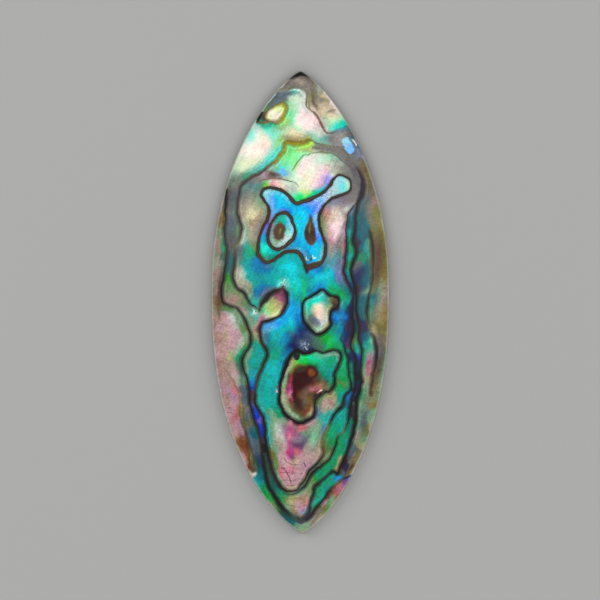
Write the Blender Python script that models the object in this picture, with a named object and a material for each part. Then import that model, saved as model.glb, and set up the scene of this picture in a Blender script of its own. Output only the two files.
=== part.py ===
"""A polished abalone shell cabochon: one solid marquise with a low dome and a flat ground back.

Run it with blender --background --python part.py, or from Blender's text editor.
Metres, +Z up. The cabochon lies on its back, its long axis along Y and its blunter tip at +Y.
The origin is under the middle of its bounding box, on the plane that it rests on.
"""

import math

import bmesh
import bpy

# Driving dimensions, in metres.
LENGTH = 0.0464  # from tip to tip
WIDTH = 0.0179  # across the widest station
HEIGHT = 0.0032  # from the flat back to the top of the dome
GIRDLE_HEIGHT = 0.0010  # from the flat back to the rim of the dome
BACK_BEVEL = 0.00025  # broken edge round the flat back
WALL_DRAFT = 0.00012  # the girdle wall leans in by this much on its way up to the rim
WIDEST_AT = 0.0012  # the widest station lies this far above the middle, towards the blunt tip
TIP_LEAN = 0.00024  # the long tip leans this far towards +X

# The outline is WIDTH / 2 * (1 - t ** fullness) ** TIP_ROUNDNESS, with t from 0 at the widest
# station to 1 at a tip. A larger fullness carries the width further towards that tip.
BLUNT_FULLNESS = 2.1
LONG_FULLNESS = 2.45
TIP_ROUNDNESS = 0.77
TIP_INSET = 1.35  # a tip is drawn in further than the sides by this factor, as its sides slope

# The dome across one station is (1 - |u| ** DOME_FLATNESS) ** DOME_ROUNDNESS, with u from -1 to 1.
# Its height falls with the station's width ** DOME_FALL, down to the girdle at both tips.
DOME_FLATNESS = 2.2
DOME_ROUNDNESS = 0.62
DOME_FALL = 0.8

STATIONS = 72  # steps along the length
STATION_CLOSING = 1.5  # above 1, the stations close up towards the tips
STEPS_ACROSS = 28  # steps across each station

SHELL_COLOUR = (0.22, 0.48, 0.46, 1.0)
SHELL_ROUGHNESS = 0.16


def clear_scene():
    for obj in list(bpy.data.objects):
        bpy.data.objects.remove(obj)


def station_place(step):
    """How far a station lies along the outline: -1 at the long tip, 0 at the widest, 1 at the blunt tip."""
    place = 2 * step / STATIONS - 1
    return math.copysign(1 - (1 - abs(place)) ** STATION_CLOSING, place)


def half_width(along):
    fullness = BLUNT_FULLNESS if along > 0 else LONG_FULLNESS
    return WIDTH / 2 * max(0.0, 1 - abs(along) ** fullness) ** TIP_ROUNDNESS


def outline_point(along, side, inset):
    """X and Y on the right (side 1) or left (side -1) of the outline, drawn in by inset all round."""
    reach = LENGTH / 2 - WIDEST_AT if along > 0 else LENGTH / 2 + WIDEST_AT
    x = TIP_LEAN * max(0.0, -along) ** 4 + side * half_width(along)
    y = WIDEST_AT + along * reach
    return x * (1 - 2 * inset / WIDTH), y * (1 - 2 * TIP_INSET * inset / LENGTH)


def dome_height(along, across):
    """Height of the polished face, with across from -1 to 1 over the station's width."""
    rise = (HEIGHT - GIRDLE_HEIGHT) * (2 * half_width(along) / WIDTH) ** DOME_FALL
    return GIRDLE_HEIGHT + rise * max(0.0, 1 - abs(across) ** DOME_FLATNESS) ** DOME_ROUNDNESS


def dome_row(mesh, along):
    """The vertices across one station, from left to right. At a tip they are all one vertex."""
    left, y = outline_point(along, -1, WALL_DRAFT)
    right, y = outline_point(along, 1, WALL_DRAFT)
    if abs(along) == 1:
        return [mesh.verts.new((left, y, GIRDLE_HEIGHT))] * (STEPS_ACROSS + 1)
    row = []
    for column in range(STEPS_ACROSS + 1):
        across = math.sin(math.pi * (column / STEPS_ACROSS - 0.5))
        x = (left + right) / 2 + across * (right - left) / 2
        row.append(mesh.verts.new((x, y, dome_height(along, across))))
    return row


def add_dome(mesh):
    """Lofts the polished face over the stations and returns its rim, anticlockwise from above."""
    rows = [dome_row(mesh, station_place(step)) for step in range(STATIONS + 1)]
    for low, high in zip(rows, rows[1:]):
        for column in range(STEPS_ACROSS):
            corners = [low[column], low[column + 1], high[column + 1], high[column]]
            mesh.faces.new(list(dict.fromkeys(corners)))
    return [row[-1] for row in rows] + [row[0] for row in reversed(rows[1:-1])]


def add_ring(mesh, above, inset, height):
    """Joins a lower ring of the outline to the ring above it."""
    places = [(station_place(step), 1) for step in range(STATIONS + 1)]
    places += [(station_place(step), -1) for step in range(STATIONS - 1, 0, -1)]
    ring = [mesh.verts.new((*outline_point(*place, inset), height)) for place in places]
    for corner in range(len(ring)):
        mesh.faces.new((above[corner - 1], ring[corner - 1], ring[corner], above[corner]))
    return ring


def shell_material():
    material = bpy.data.materials.new("polished_nacre")
    material.use_nodes = True
    surface = material.node_tree.nodes["Principled BSDF"]
    surface.inputs["Base Color"].default_value = SHELL_COLOUR
    surface.inputs["Roughness"].default_value = SHELL_ROUGHNESS
    surface.inputs["Metallic"].default_value = 0.0
    return material


def make_cabochon():
    mesh = bmesh.new()
    rim = add_dome(mesh)
    foot = add_ring(mesh, rim, 0.0, BACK_BEVEL)
    broken_edge = add_ring(mesh, foot, 0.3 * BACK_BEVEL, 0.3 * BACK_BEVEL)
    back = add_ring(mesh, broken_edge, BACK_BEVEL, 0.0)
    mesh.faces.new(list(reversed(back)))
    data = bpy.data.meshes.new("abalone_cabochon")
    mesh.to_mesh(data)
    mesh.free()
    data.shade_smooth()
    data.set_sharp_from_angle(angle=math.radians(35))
    data.materials.append(shell_material())
    cabochon = bpy.data.objects.new("abalone_cabochon", data)
    bpy.context.scene.collection.objects.link(cabochon)
    return cabochon


def main():
    clear_scene()
    make_cabochon()


main()
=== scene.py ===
"""Looks of a polished abalone shell cabochon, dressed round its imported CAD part.

The stone is one closed surface: a domed polished face, the girdle wall and the ground back. The
colours of the face are laid as the shell grew them: dark growth lines drawn as curves split the
face into cells, and each cell holds soft patches of named colour that stop at its lines. Shader
noise adds the silky fibres, the cloudiness and the sparkle. Metres, +Z up.
"""

import collections

import bpy
import numpy as np
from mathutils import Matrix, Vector


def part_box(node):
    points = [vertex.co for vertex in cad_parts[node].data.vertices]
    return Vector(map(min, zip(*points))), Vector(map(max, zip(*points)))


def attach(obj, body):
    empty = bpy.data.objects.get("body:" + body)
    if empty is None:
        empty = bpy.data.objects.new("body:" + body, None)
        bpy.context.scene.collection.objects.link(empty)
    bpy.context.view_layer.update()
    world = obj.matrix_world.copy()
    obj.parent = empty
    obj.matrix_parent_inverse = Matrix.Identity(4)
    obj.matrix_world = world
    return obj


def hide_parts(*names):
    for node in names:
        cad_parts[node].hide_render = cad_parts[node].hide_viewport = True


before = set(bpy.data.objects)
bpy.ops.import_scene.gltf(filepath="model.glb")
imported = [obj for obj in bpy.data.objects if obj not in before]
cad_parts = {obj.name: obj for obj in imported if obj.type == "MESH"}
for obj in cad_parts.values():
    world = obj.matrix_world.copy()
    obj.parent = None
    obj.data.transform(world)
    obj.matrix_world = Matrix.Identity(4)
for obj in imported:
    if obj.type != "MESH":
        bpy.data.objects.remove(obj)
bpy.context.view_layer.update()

# The solid's own sizes come from the frame. The rest repeat the part's driving values.
LOW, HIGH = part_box("abalone_cabochon")
LENGTH = HIGH.y - LOW.y
WIDTH = HIGH.x - LOW.x
HEIGHT = HIGH.z - LOW.z
GIRDLE_HEIGHT = 0.0010  # from the flat back to the rim of the dome
BACK_BEVEL = 0.00025  # broken edge round the flat back
EDGE_STEP = 0.3  # the ring in the broken edge lies this share of the bevel in and up
WALL_DRAFT = 0.00012  # the girdle wall leans in by this much on its way up to the rim
WIDEST_AT = 0.0012  # the widest station lies this far above the middle, towards the blunt tip
TIP_LEAN = 0.00024  # the long tip leans this far towards +X
BLUNT_FULLNESS = 2.1
LONG_FULLNESS = 2.45
TIP_ROUNDNESS = 0.77
TIP_INSET = 1.35
DOME_FLATNESS = 2.2
DOME_ROUNDNESS = 0.62
DOME_FALL = 0.8
SHARP_ANGLE = 40  # degrees: edges that turn by more than this are sharp

ROWS = 424  # steps along the length of the polished face
ROW_CLOSING = 1.12  # above 1, the rows close up towards the tips
COLUMNS = 202  # steps across the polished face
COLUMN_CLOSING = 0.3  # how far the columns close up towards the rim
BACK_COLUMNS = 22  # steps across the flat back

# The drawing of the growth lines is in units of a tenth of a millimetre, with x to the right, y
# down, and the middle of the stone at DRAWING_CENTRE.
DRAWING_LENGTH = 464  # from tip to tip
DRAWING_UNIT = LENGTH / DRAWING_LENGTH
DRAWING_CENTRE = (300.35, 302.0)
PICTURE_CENTRE = (300, 300)  # where the camera looks, in the drawing

FRAME_WIDTH = 0.060  # what the camera sees across, at the stone
CAMERA_HEIGHT = 0.60
NEAREST_SEEN = 0.01
FILM_WIDTH = 36.0  # millimetres

FLOOR_REACH = 0.6
FLOOR_COLOUR = (0.40, 0.40, 0.395, 1)
FLOOR_ROUGHNESS = 0.9
FLOOR_SPECULAR = 0.1
WORLD_LIGHT = 0.50
SOFTBOX_DISTANCE = 0.3
SOFTBOX_SIZE = 0.20
SOFTBOXES = (
    # Name, direction from the stone and power in watts.
    ("softbox_left", (-0.9, 0.5, 1.0), 0.31),
    ("softbox_right", (0.9, 0.4, 1.0), 0.26),
    ("softbox_front", (0.0, -1.0, 1.0), 0.21),
)

# How the lines are drawn. Gaps, depths and widths are in the drawing's units.
CURVE_STEPS = 5  # straight steps between two points of a line
CURVE_STRIDE = 10  # steps of a line that are measured together
NO_LENGTH = 1e-9  # keeps a step of no length from dividing by 0
GAP_REACH = 14.0  # the drawing looks this far for a line
EDGE_LIMIT = 3.0  # the edge value runs from -EDGE_LIMIT away from the lines to EDGE_LIMIT inside them
OVERLAP = 0.6  # where two lines meet, their tones mix over this much of the edge value
LINE_THINNING = 0.3  # a cell line is drawn thinner than its chart width by this much on each side
THINNED_FROM = 1.2  # widths under this aren't thinned, and one unit wider they are thinned in full
CORE_DEPTH = 0.55  # how much darker a dark line is in its middle
CORE_REACH = 1.1  # it is darkest from this far inside the line's edge
CORE_TONES = (0.15, 0.45)  # tones up to the first brightness get it in full, and past the second none
RIM_DEPTH = 0.7  # how much darker a rimmed line is at its edges
RIM_PLACE = 0.5  # the darkest place lies this far inside
RIM_WIDTH = 0.9
LEAST_SHADING = 0.5  # half width of a line that is too thin to shade the nacre beside it
SHADING_RISE = 0.7  # a line this much wider on each side shades it fully
RIMMED_SHADING = 0.35  # the most that a rimmed line shades it

# How the patches are blended.
BARRIER_GAP = 0.75  # spots nearer to a line than this part the cells
PATCH_SPREAD = 1.15  # how softly the patches run into one another
PATCH_STRETCH = 0.9  # how much longer a patch is along the nearest line
SLOPE_PROBE = 2.0  # the gap's slope is measured this far to each side of a patch
LAYER_PULL = 0.8  # how strongly colours keep to their layer beside a line
FAR_PULL = 0.002  # strength of a patch's faint tail, for spots with no patch near
FROST_GAP = 1.8  # frost is palest at this gap from a line

# Swirls: the longest wave over 2 pi, how far it moves a spot, and the number of octaves.
LINE_SWIRL = (2.6, 0.32, 2)
PATCH_SWIRL = (5.6, 1.5, 4)
SWIRL_SHRINK = 1.9  # each octave is this much shorter than the last
SWIRL_FADE = 1.75  # and this much weaker
SWIRL_START = 0.9  # radians: the way that the first octave runs
SWIRL_TURN = 1.3  # radians: from one octave to the next
SWIRL_BEND = 1.3  # how far the crossing wave bends each wave
SWIRL_CROSSINGS = (1.7, 1.5)  # how much longer the crossing waves are

# How a line shades the nacre beside it.
HALO_DEPTH = 0.45  # how far the soft edge of a wide line takes its tone
HALO_REACH = 1.5  # the gap over which the halo fades
HALO_TONE = 0.75  # the line's share in the halo's tone
SHADE_DEPTH = 0.26  # how far a wide line darkens the nacre beside it
SHADE_REACH = 4.0  # the gap over which the darkening fades
FRINGE_LIGHT = 0.2  # how much brighter the nacre is just beside a wide line
FRINGE_GAP = 2.3  # the fringe is brightest at this gap
FRINGE_WIDTH = 0.8
COLOUR_DEPTH = 1.07  # above 1, the painted colours are deeper than the palette

# The rim, the wall and the back.
GROUND_EDGE_AND_HIGHLIGHT = 0.6  # how far the edge of the polished face turns pale: partly its pale ground edge, partly a painted highlight where the steep edge catches the light
RIM_GAP = 0.9  # width of that edge
WALL_BLUR = 12  # the wall's colours are mixed over this many vertices of the rim to each side
WALL_GREYING = 0.55
WALL_PAINTED_SHADE = (1.0, 0.9, 0.8)  # painted shade: the wall's colour times these, darker from the foot of the wall down to the ring round the back
BACK_GREYING = 0.5

# Noises of the nacre: grain along X, Y and Z in metres, detail, roughness, turn about Z in radians,
# and whether the noise sways with the wander.
Grain = collections.namedtuple("Grain", "size detail roughness turn sways", defaults=(0.55, 0.0, False))
WANDER = Grain((0.0016, 0.0016, 0.0016), 2.0)
WANDER_REACH = 0.0007  # how far the wander moves the grains that sway, in metres
GRAINS = {
    "fibres": Grain((0.00022, 0.0012, 0.0012), 3.0, 0.65, 0.5, True),
    "cross": Grain((0.0011, 0.00024, 0.0011), 3.0, 0.6, 0.3, True),
    "cloud": Grain((0.0009, 0.0012, 0.0012), 4.0, 0.6, 0.0, True),
    "speck": Grain((0.00021, 0.00021, 0.00021), 2.0, 0.7),
    "glitter": Grain((0.00015, 0.00015, 0.00015), 1.0),
    "hoar_and_glitter": Grain((0.00011, 0.00011, 0.00011), 1.0),
    "layers": Grain((0.004, 0.004, 0.00013), 2.0, 0.55, 0.0, True),
    "hue": Grain((0.0007, 0.0010, 0.0010), 3.0, 0.6, 0.0, True),
}
BASE_LIGHT = 1.04  # the noises lighten and darken the nacre round this, each by its own strength
FIBRE_LIGHT = 0.95
CROSS_LIGHT = 0.65
CLOUD_LIGHT = 0.5
SPECKLE_LIGHT = 0.55
LAYER_LIGHT = 1.4
GLITTER_RAMP = (0.35, 0.65)
HOAR_RAMP = (0.38, 0.56)
CALM_RAMP = (0.45, 0.95)  # nacre brighter than the first value shows less noise
CALM_LIGHT = 0.4  # the share of it left in the brightest nacre
HUE_SWING = 0.12
CROSS_HUE_SWING = 0.10
SATURATION = 1.1
SPECK_FRAY = 0.9  # how far the specks and the fibres fray the edge of a line
FIBRE_FRAY = 0.5
COVER_RAMP = (-0.5, 0.5)  # edge values between which a line covers the nacre
FROST_AND_GLINT_COLOUR = (0.50, 0.70, 0.76, 1)
ROUGHNESS = 0.34
FIBRE_ROUGHNESS = 0.2
LINE_ROUGHNESS = 0.08
BUMP = {"Strength": 0.25, "Distance": 0.00004}
CLOUD_BUMP = 0.5
SPECULAR = 0.22  # Blender's specular level, below its usual 0.5
COAT = 0.08
COAT_ROUGHNESS = 0.12

# Colours as the eye sees them in even light, each named once and used wherever it shows.
PALETTE = {
    "pearl": "FFF5EA", "blush": "FFDEE4", "peach": "FFDCC4", "cream": "F0ECBE", "foam": "CCFBD6",
    "mist": "C8D7CD", "aqua": "69F0DC", "glow": "14EED4", "ice": "96D7EB", "sky": "6EB9FA",
    "cyan": "00D0EB", "azure": "00B2F0", "lagoon": "00BEBE", "teal": "00A096", "reef": "46AFA5",
    "petrol": "14646E", "cobalt": "2850B9", "royal": "0A73BE", "navy": "232D5A", "violet": "7864B4",
    "iris": "7D8CF5", "lilac": "9691BE", "steel": "647D96", "slate": "55646C", "emerald": "00B46E",
    "spring": "00E46C", "jade": "1E9664", "leaf": "3CA041", "mint": "82F5BE", "moss": "648C55",
    "lime": "C6F468", "sage": "82A587", "pine": "2D5548", "olive": "6E6C3C", "gold": "96851A",
    "ochre": "85734A", "sand": "B6A68C", "khaki": "A5A276", "putty": "9E9084", "ash": "96928C",
    "smoke": "76706C", "shade": "585454", "umber": "543C2A", "bark": "33271C", "rust": "804E34",
    "copper": "7C3C0E", "drab": "5E4A39", "maroon": "33080C", "crimson": "9B3741", "rose": "CD7D87",
    "pink": "F5A5BE", "coral": "D79687", "magenta": "B63A80", "orchid": "BE9CA2", "mauve": "A88A9A",
    "plum": "5F3C62", "grape": "33203A", "ink": "0A080A", "shell": "A88A82",
}

# A line has tones spread evenly along its length, points of x, y and width, the softness of its edge,
# whether it parts two cells, and whether its own edges are darker than its middle.
Line = collections.namedtuple("Line", "tones points soft blocks rimmed", defaults=(0.8, True, False))
Patch = collections.namedtuple("Patch", "colour x y wide long lean", defaults=(None, 0.0))
FrostAndGlint = collections.namedtuple("FrostAndGlint", "x y strength width reach")
Nick = collections.namedtuple("Nick", "x y radius depth")

LINES = (
    # Crown: the arc under the top tip, pale on its inner side and brown on its outer side.
    Line("shade ink ink shade", ((288, 79.4, 1.6), (293.5, 75.6, 5), (300, 72.8, 7.4), (306, 74.2, 5.4),
         (311, 78, 1.6)), 2.0, False),
    Line("moss slate slate slate reef", ((265, 109.5, 4), (271, 103.6, 6), (278, 98.4, 6.6),
         (285, 94.6, 6), (291, 92.2, 4.4), (297, 91, 2.4)), 3.4, False),
    Line("smoke putty smoke", ((290, 82, 4), (300, 82, 6), (310, 86, 6)), 5.0, False),
    Line("smoke olive umber olive", ((310.6, 88, 2), (312.4, 95, 5), (313.4, 102, 5),
         (317.6, 109, 2)), 6.0, False),
    Line("olive olive umber rust olive", ((309.6, 95, 1), (309, 104, 1.8), (310.4, 109.4, 1.8),
         (315.2, 113.8, 1.8), (318.4, 117.6, 2), (322.3, 125.5, 2.4), (323.8, 129, 2),
         (326.4, 131.8, 1.6), (329.7, 132.8, 1.2)), 2.2, False),
    Line("khaki olive smoke smoke olive umber rust rust umber olive", ((280, 91.4, 1),
         (294.3, 87.7, 1.4), (299.7, 87.2, 1.4), (304.2, 88.8, 1.4), (306.2, 91.4, 1.8), (306.8, 95, 2),
         (306.4, 105, 1.4), (308.8, 109.4, 0.8), (314.3, 114.7, 0.8), (319, 120.7, 0.8),
         (322.3, 128, 0.8), (324.4, 131.4, 0.8), (326.8, 133.4, 0.9), (330, 134, 1), (334, 133.4, 1))),
    Line("foam mist mist", ((284, 93.4, 0.6), (290, 91, 1.4), (296, 90.4, 2), (301, 91.4, 2.8),
         (303.8, 95, 3), (303.8, 105, 2.8), (306, 110, 2), (311, 115, 1)), 1.8, False),
    Line("plum steel steel", ((330, 132.6, 1), (341.7, 130.3, 2.2), (348.6, 127.6, 1.8)), 1.0),
    # The rim by the crown: pale lines along the edge, partly its pale ground edge and partly a painted
    # highlight where the steep polished edge catches the light; and dark nicks.
    Line("mist", ((262, 112, 0.8), (266, 105.6, 1), (270, 100, 1.2), (275.6, 94, 1.2)), 0.8, False),
    Line("mist sand", ((281, 88, 0.8), (286, 82.5, 1.1), (290, 79, 0.8)), 0.8, False),
    Line("blush pearl pearl", ((322.5, 88.5, 1), (328, 95, 2.6), (333, 102, 3.4), (337.6, 109.5, 3),
         (340.6, 114, 1.4)), 2.2, False),
    Line("bark ink umber", ((261.8, 113, 3), (259.8, 117, 3.8), (258, 120.5, 3),
         (256.6, 122.6, 1.6)), 1.0, False),
    Line("umber olive", ((257.5, 121.8, 1.6), (263, 122.4, 2.4), (268.5, 122.8, 1.6)), 1.0, False),
    Line("slate shade", ((347.6, 125.6, 1.2), (353, 136, 1.8), (356.4, 142.4, 1.2), (359.4, 148.4, 1.8),
         (362.6, 154.4, 1.4)), 0.9, False),
    Line("pearl", ((354.2, 140.2, 1.2), (355.5, 142.8, 2.1), (357, 145.2, 0.9)), 0.7, False),
    Line("reef smoke ash smoke", ((321, 140, 3), (329, 138.6, 7), (337, 138.6, 10), (344, 134, 6),
         (350, 133, 5)), 5.0, False),
    Line("ice sky", ((345.6, 141, 8.4), (350, 149.6, 8.4)), 1.8, False),
    Line("mist", ((352.4, 139.4, 0.8), (354, 142, 1.2)), 0.8, False),
    # The grey strip over the pink dome.
    Line("smoke smoke shade smoke", ((313, 147.4, 2), (320, 148.6, 5), (330, 149.4, 5.6), (338, 152, 6),
         (345, 156.8, 7), (351, 163, 8), (355, 171, 8), (356.6, 180, 8), (356, 190, 7),
         (351.4, 199, 5)), 3.4, False),
    Line("khaki smoke khaki", ((315.6, 103, 2), (321, 100.6, 4), (327.6, 100.4, 3)), 4.4, False),
    Line("khaki smoke sand", ((325.6, 113.2, 1.6), (330.6, 111.4, 3), (336, 109, 1.6)), 3.2, False),
    # The oval by the crown.
    Line("olive gold gold gold olive umber olive", ((269, 109.6, 1.7), (277.5, 105.3, 1.7),
         (281.5, 104, 2.2), (284.8, 105, 3), (286.3, 108, 3.2), (285.4, 112, 3), (281, 119.8, 2.8),
         (277.6, 122.2, 2.6), (273.4, 122.2, 2.2), (269, 121.4, 2.2), (265, 119.6, 3),
         (263.4, 116.6, 3.2), (265, 113.2, 2.4), (269, 109.6, 1.7)), 1.2),
    # The dark mauve band and the blue spot over the brow.
    Line("slate smoke mauve umber steel", ((250, 184, 4), (256, 180, 6), (263, 176.2, 7),
         (270, 174.4, 6.4), (276.6, 175, 5), (281, 177.4, 2)), 4.4, False),
    Line("sky", ((282.4, 171.4, 5), (284.8, 174, 5)), 2.6, False),
    # The shoulder line: from the middle of the crown down the left side.
    Line("olive gold gold gold umber umber bark bark bark bark olive bark bark ink ink bark", (
         (312, 140.6, 1.2), (307, 142, 2.4), (301, 143.8, 2.5), (295, 144.4, 3.3), (290, 143.3, 2.9),
         (285.8, 142.6, 2.3), (284.2, 147, 2.3), (283.8, 151, 2.3), (281.5, 154, 3.2), (279, 157, 2.8),
         (276.5, 160.5, 2.4), (267.7, 167.5, 2.2), (260, 174, 3), (251, 178, 3.2), (243, 184, 2.8),
         (239.5, 192, 2.4), (237.2, 210, 2.3), (237.8, 215, 2.4), (241.2, 226, 2.6), (241.8, 230, 2.6),
         (240.6, 236, 2.4), (236.5, 248, 2), (234.6, 262, 2.4), (233, 276, 2.6), (233.3, 281, 2.6),
         (235.7, 286, 2.6), (238.5, 289, 2.4), (242, 291, 2.4), (245, 294, 2.4), (248.7, 301.5, 2.2),
         (251, 304.5, 1.8), (254, 306, 1.5), (257, 308, 1.3), (259.5, 309, 1.2)), 1.0),
    # The long outer line: down the left side, round the keel and up the right side.
    Line("ink bark ink bark ink bark ink", ((226.3, 190, 2.2), (225.2, 207, 2.2), (225.6, 220, 2.2),
         (224.3, 232, 2.2), (226.6, 248, 2.4), (226.2, 261, 2.6), (221.7, 287, 3.4), (221, 294, 3.4),
         (221.7, 299, 3), (223, 302.3, 2.6), (225.8, 304.6, 2.3), (234.3, 306.6, 2.2),
         (237.8, 308.7, 2.3), (242.4, 315.3, 2.4), (245.1, 319.5, 2.5), (248.8, 328.8, 2.7),
         (250.8, 338, 2.8), (250, 346, 2.4), (245, 353.2, 2.3), (242.2, 360, 2.6), (243.8, 368.7, 2.2),
         (246.8, 379, 2.2), (248.8, 389, 2.3), (249.9, 400, 2.4), (253, 417, 2.2), (259.8, 435, 2.3),
         (262.3, 453, 2.4), (266.9, 481, 2.8), (268.8, 487.5, 3))),
    Line("ink ink pine grape ink bark ink", ((268.8, 487.5, 3), (280.2, 505, 3.8), (290.2, 515.2, 4.2),
         (300, 519.8, 4.4), (304.3, 518.6, 4.4), (307.8, 515, 4), (309.2, 511.5, 3.4), (310, 503.3, 2),
         (313.2, 493.3, 1.8), (315.8, 485.8, 2.8), (328.3, 475, 2.1), (331.7, 472, 2.4),
         (334.5, 471.7, 2.6), (337, 473.5, 2.8))),
    Line("maroon ink ink ink ink", ((337, 473.5, 2.8), (339, 471, 3), (342.7, 462.3, 3), (344, 458, 3),
         (347.7, 450, 3), (353.6, 430.7, 3.2), (355.3, 420, 3.6), (356.6, 400, 4.2), (358, 394.7, 4),
         (361, 384, 2.8), (361.7, 381, 2.6), (360.3, 370.7, 2.2), (361.7, 352.7, 2.2),
         (361, 347.3, 2.2), (358, 338, 2.2), (359, 329.3, 2.4), (358.7, 324, 2.4), (356.1, 313.3, 2.4),
         (355.9, 306.7, 2.6), (356.7, 294.7, 2.6), (352.7, 280.7, 2.6), (351, 271.3, 2.8),
         (351.7, 266.7, 2.8), (354.9, 258, 2.8), (355.7, 254, 2.8), (355.6, 248.7, 2.8),
         (353, 241.3, 2.8), (353, 237.3, 2.8), (355, 226.7, 2.6), (355.7, 213.3, 2.5),
         (357.7, 204, 3))),
    Line("ink grape grape bark olive olive shade", ((357.7, 204, 3), (361.6, 194.7, 4.6),
         (362.6, 185, 5), (360.2, 173.5, 3.2), (357.3, 169, 2), (353.8, 164.7, 1.4),
         (350.4, 161.3, 1.3), (348.4, 157.3, 1.2), (347.7, 153.2, 1.2), (344.3, 150.6, 1.2),
         (339, 147, 1.1), (336.3, 146.7, 1.1), (319.7, 144.2, 1.2), (312, 140.6, 1.2)), 1.0),
    # The inner line: from under the rose bead down the left, round the pink keel and up the right.
    Line("bark bark umber ink ink", ((262, 322.7, 3), (260.4, 326.7, 3.2), (260, 331.3, 3.2),
         (261.4, 341.3, 3), (266.2, 348.8, 3.4), (266.8, 356, 3.6), (263.7, 364.8, 3),
         (259.1, 374, 2.8), (256.7, 385.3, 2.6), (254.8, 396, 3), (256, 404.8, 2.8), (261, 412, 2.4),
         (263, 416, 2.3), (265.2, 426, 2.4), (265.5, 436.7, 2.5), (267.3, 448, 2.8))),
    Line("ink bark ink bark ink", ((267.3, 448, 2.8), (269.4, 460, 3.2), (273, 472.5, 3.2),
         (278.4, 483.3, 3), (281.8, 487.6, 2.8), (286, 490.4, 2.4), (290.8, 491, 2.2), (295.5, 490, 2),
         (298.8, 487.6, 2), (305, 478.5, 2.2), (307.7, 473.3, 2.4), (311, 469.3, 2.5),
         (317.8, 462.8, 2.4))),
    Line("bark umber olive olive ink ink", ((317.8, 462.8, 2.4), (320.8, 459, 2.4), (322.6, 455.3, 2.4),
         (323, 451.3, 2.3), (322.5, 446.7, 2.4), (323, 442, 2.4), (325.4, 432.7, 2.2),
         (329.4, 424.7, 2.2), (332.8, 416.7, 2.2), (336.8, 410.8, 2.3), (339.2, 409, 2.4),
         (341.6, 406.7, 2.6))),
    Line("bark ink ink ink navy navy shade", ((341.6, 406.7, 2.6), (342.8, 403.3, 2.6),
         (343.5, 399.3, 2.5), (345.2, 395.5, 2.3), (350, 390, 2.2), (350.9, 385.5, 2.1),
         (350.3, 380.3, 2), (349, 376.6, 2), (348.3, 372, 2), (348.4, 362.7, 2), (347.7, 358, 2.1),
         (344.9, 350.7, 2.4), (344.3, 346.7, 2.2), (343, 343.3, 1.8), (341, 340.7, 1.6),
         (340.4, 338.3, 1.6), (344.2, 332, 1.6), (344.7, 328, 1.5), (343.6, 324.7, 1.3),
         (340, 317, 0.9), (339, 312, 0.8))),
    # The grey shade beside the rose cell's bright spot.
    Line("smoke mauve smoke", ((345, 214, 1.6), (344.4, 227, 3.4), (342, 239, 5),
         (337.6, 247, 4)), 4.6, False),
    # The line between them on the right side.
    Line("bark grape grape ink ink ink", ((357.5, 203, 2), (354.8, 205, 1.6), (349, 212, 1.6),
         (346.9, 220, 2), (345.8, 230.7, 2.2), (346.3, 245.3, 2.6), (345, 261.3, 2.5),
         (343.5, 270.7, 2.6), (346.2, 279.3, 2.9), (352.2, 290.7, 3), (353.2, 294.5, 3),
         (352.1, 304, 3), (351.9, 314.7, 3), (354, 324, 3), (352.8, 334.7, 2.8), (351.7, 339.3, 2.2),
         (351.2, 347.3, 2), (354.8, 354, 2.2), (355.5, 358, 2.4), (355.2, 370, 2.4),
         (355.5, 383.3, 2.4), (353.7, 393.3, 2.4), (351.9, 398.7, 2.4), (349, 414, 2.3),
         (348.4, 419.3, 2.2))),
    Line("ink olive ink bark ink ink pine pine", ((348.4, 419.3, 2.2), (347.7, 423.3, 1.8),
         (343.8, 430.7, 1.4), (340.4, 433.3, 1.5), (337, 439.3, 1.7), (335, 447.3, 1.9),
         (331.6, 454.8, 2), (325.6, 462, 2.1), (315, 470.3, 2.5), (309.6, 477, 2.6),
         (304.7, 485.3, 2.4), (296.8, 492.3, 2.2), (291.7, 494, 2), (286.7, 493.3, 1.8),
         (283, 491.5, 1.2))),
    # Right rim lines, the first with a soft shadow on its right.
    Line("smoke olive umber umber olive", ((369, 212, 3), (374.6, 228, 6), (377.4, 240, 8.4),
         (378, 252, 9), (377.6, 264, 8), (376, 278, 6.4), (373.4, 292, 4)), 6.5, False),
    Line("smoke shade umber olive", ((378, 336, 3), (381, 347, 6), (380.6, 360, 6.5), (377, 376, 5),
         (374, 390, 3)), 6.0, False),
    Line("bark bark umber bark ink olive", ((368.5, 230, 1.2), (370.3, 233, 2.2), (372.4, 244, 3.6),
         (373, 271, 3.2), (371.4, 288, 2), (368.4, 297.3, 2.2), (366.8, 308, 2.6), (367.2, 320, 2.4),
         (369.2, 328.5, 1)), 1.3),
    Line("umber grape umber umber", ((371.5, 334, 1.9), (374.2, 338.7, 2.7), (376.7, 348, 3.9),
         (376.3, 359, 4.1), (372.2, 382, 3.3), (371, 394, 2.3)), 2.2),
    Line("olive ochre umber olive", ((361.5, 451, 1.2), (358, 454.5, 2.4), (352, 465, 3.2),
         (349.8, 470, 3), (347, 475, 2.2)), 1.6),
    Line("ink olive ink ink ink", ((351, 475.2, 1.2), (348, 476.8, 1.8), (344.5, 478.6, 1.8),
         (332.7, 486, 2), (329.5, 490, 2), (323.5, 499.3, 1.8), (313.4, 511.8, 3), (310.5, 515.5, 3.6),
         (306, 519, 4))),
    # Left rim lines, the first a soft dark band of painted shade near the left edge.
    Line("smoke umber umber olive", ((222.6, 262, 2), (220.8, 276, 4), (219.6, 292, 5),
         (219.2, 306, 4.6), (219.6, 320, 2)), 4.0, False),
    Line("ochre olive olive ochre olive umber umber olive umber", ((224.6, 368.6, 0.9),
         (228.3, 372.7, 0.9), (233.7, 381.3, 1.2), (237.7, 390.7, 1.3), (240.3, 400, 1.6),
         (241.7, 410, 2.2), (242.3, 420, 2), (245, 430, 1.8), (250.6, 452, 3.2), (252.3, 465.3, 3),
         (252.7, 471.5, 2)), 1.4),
    # The blue island with its bead at the upper right.
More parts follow.
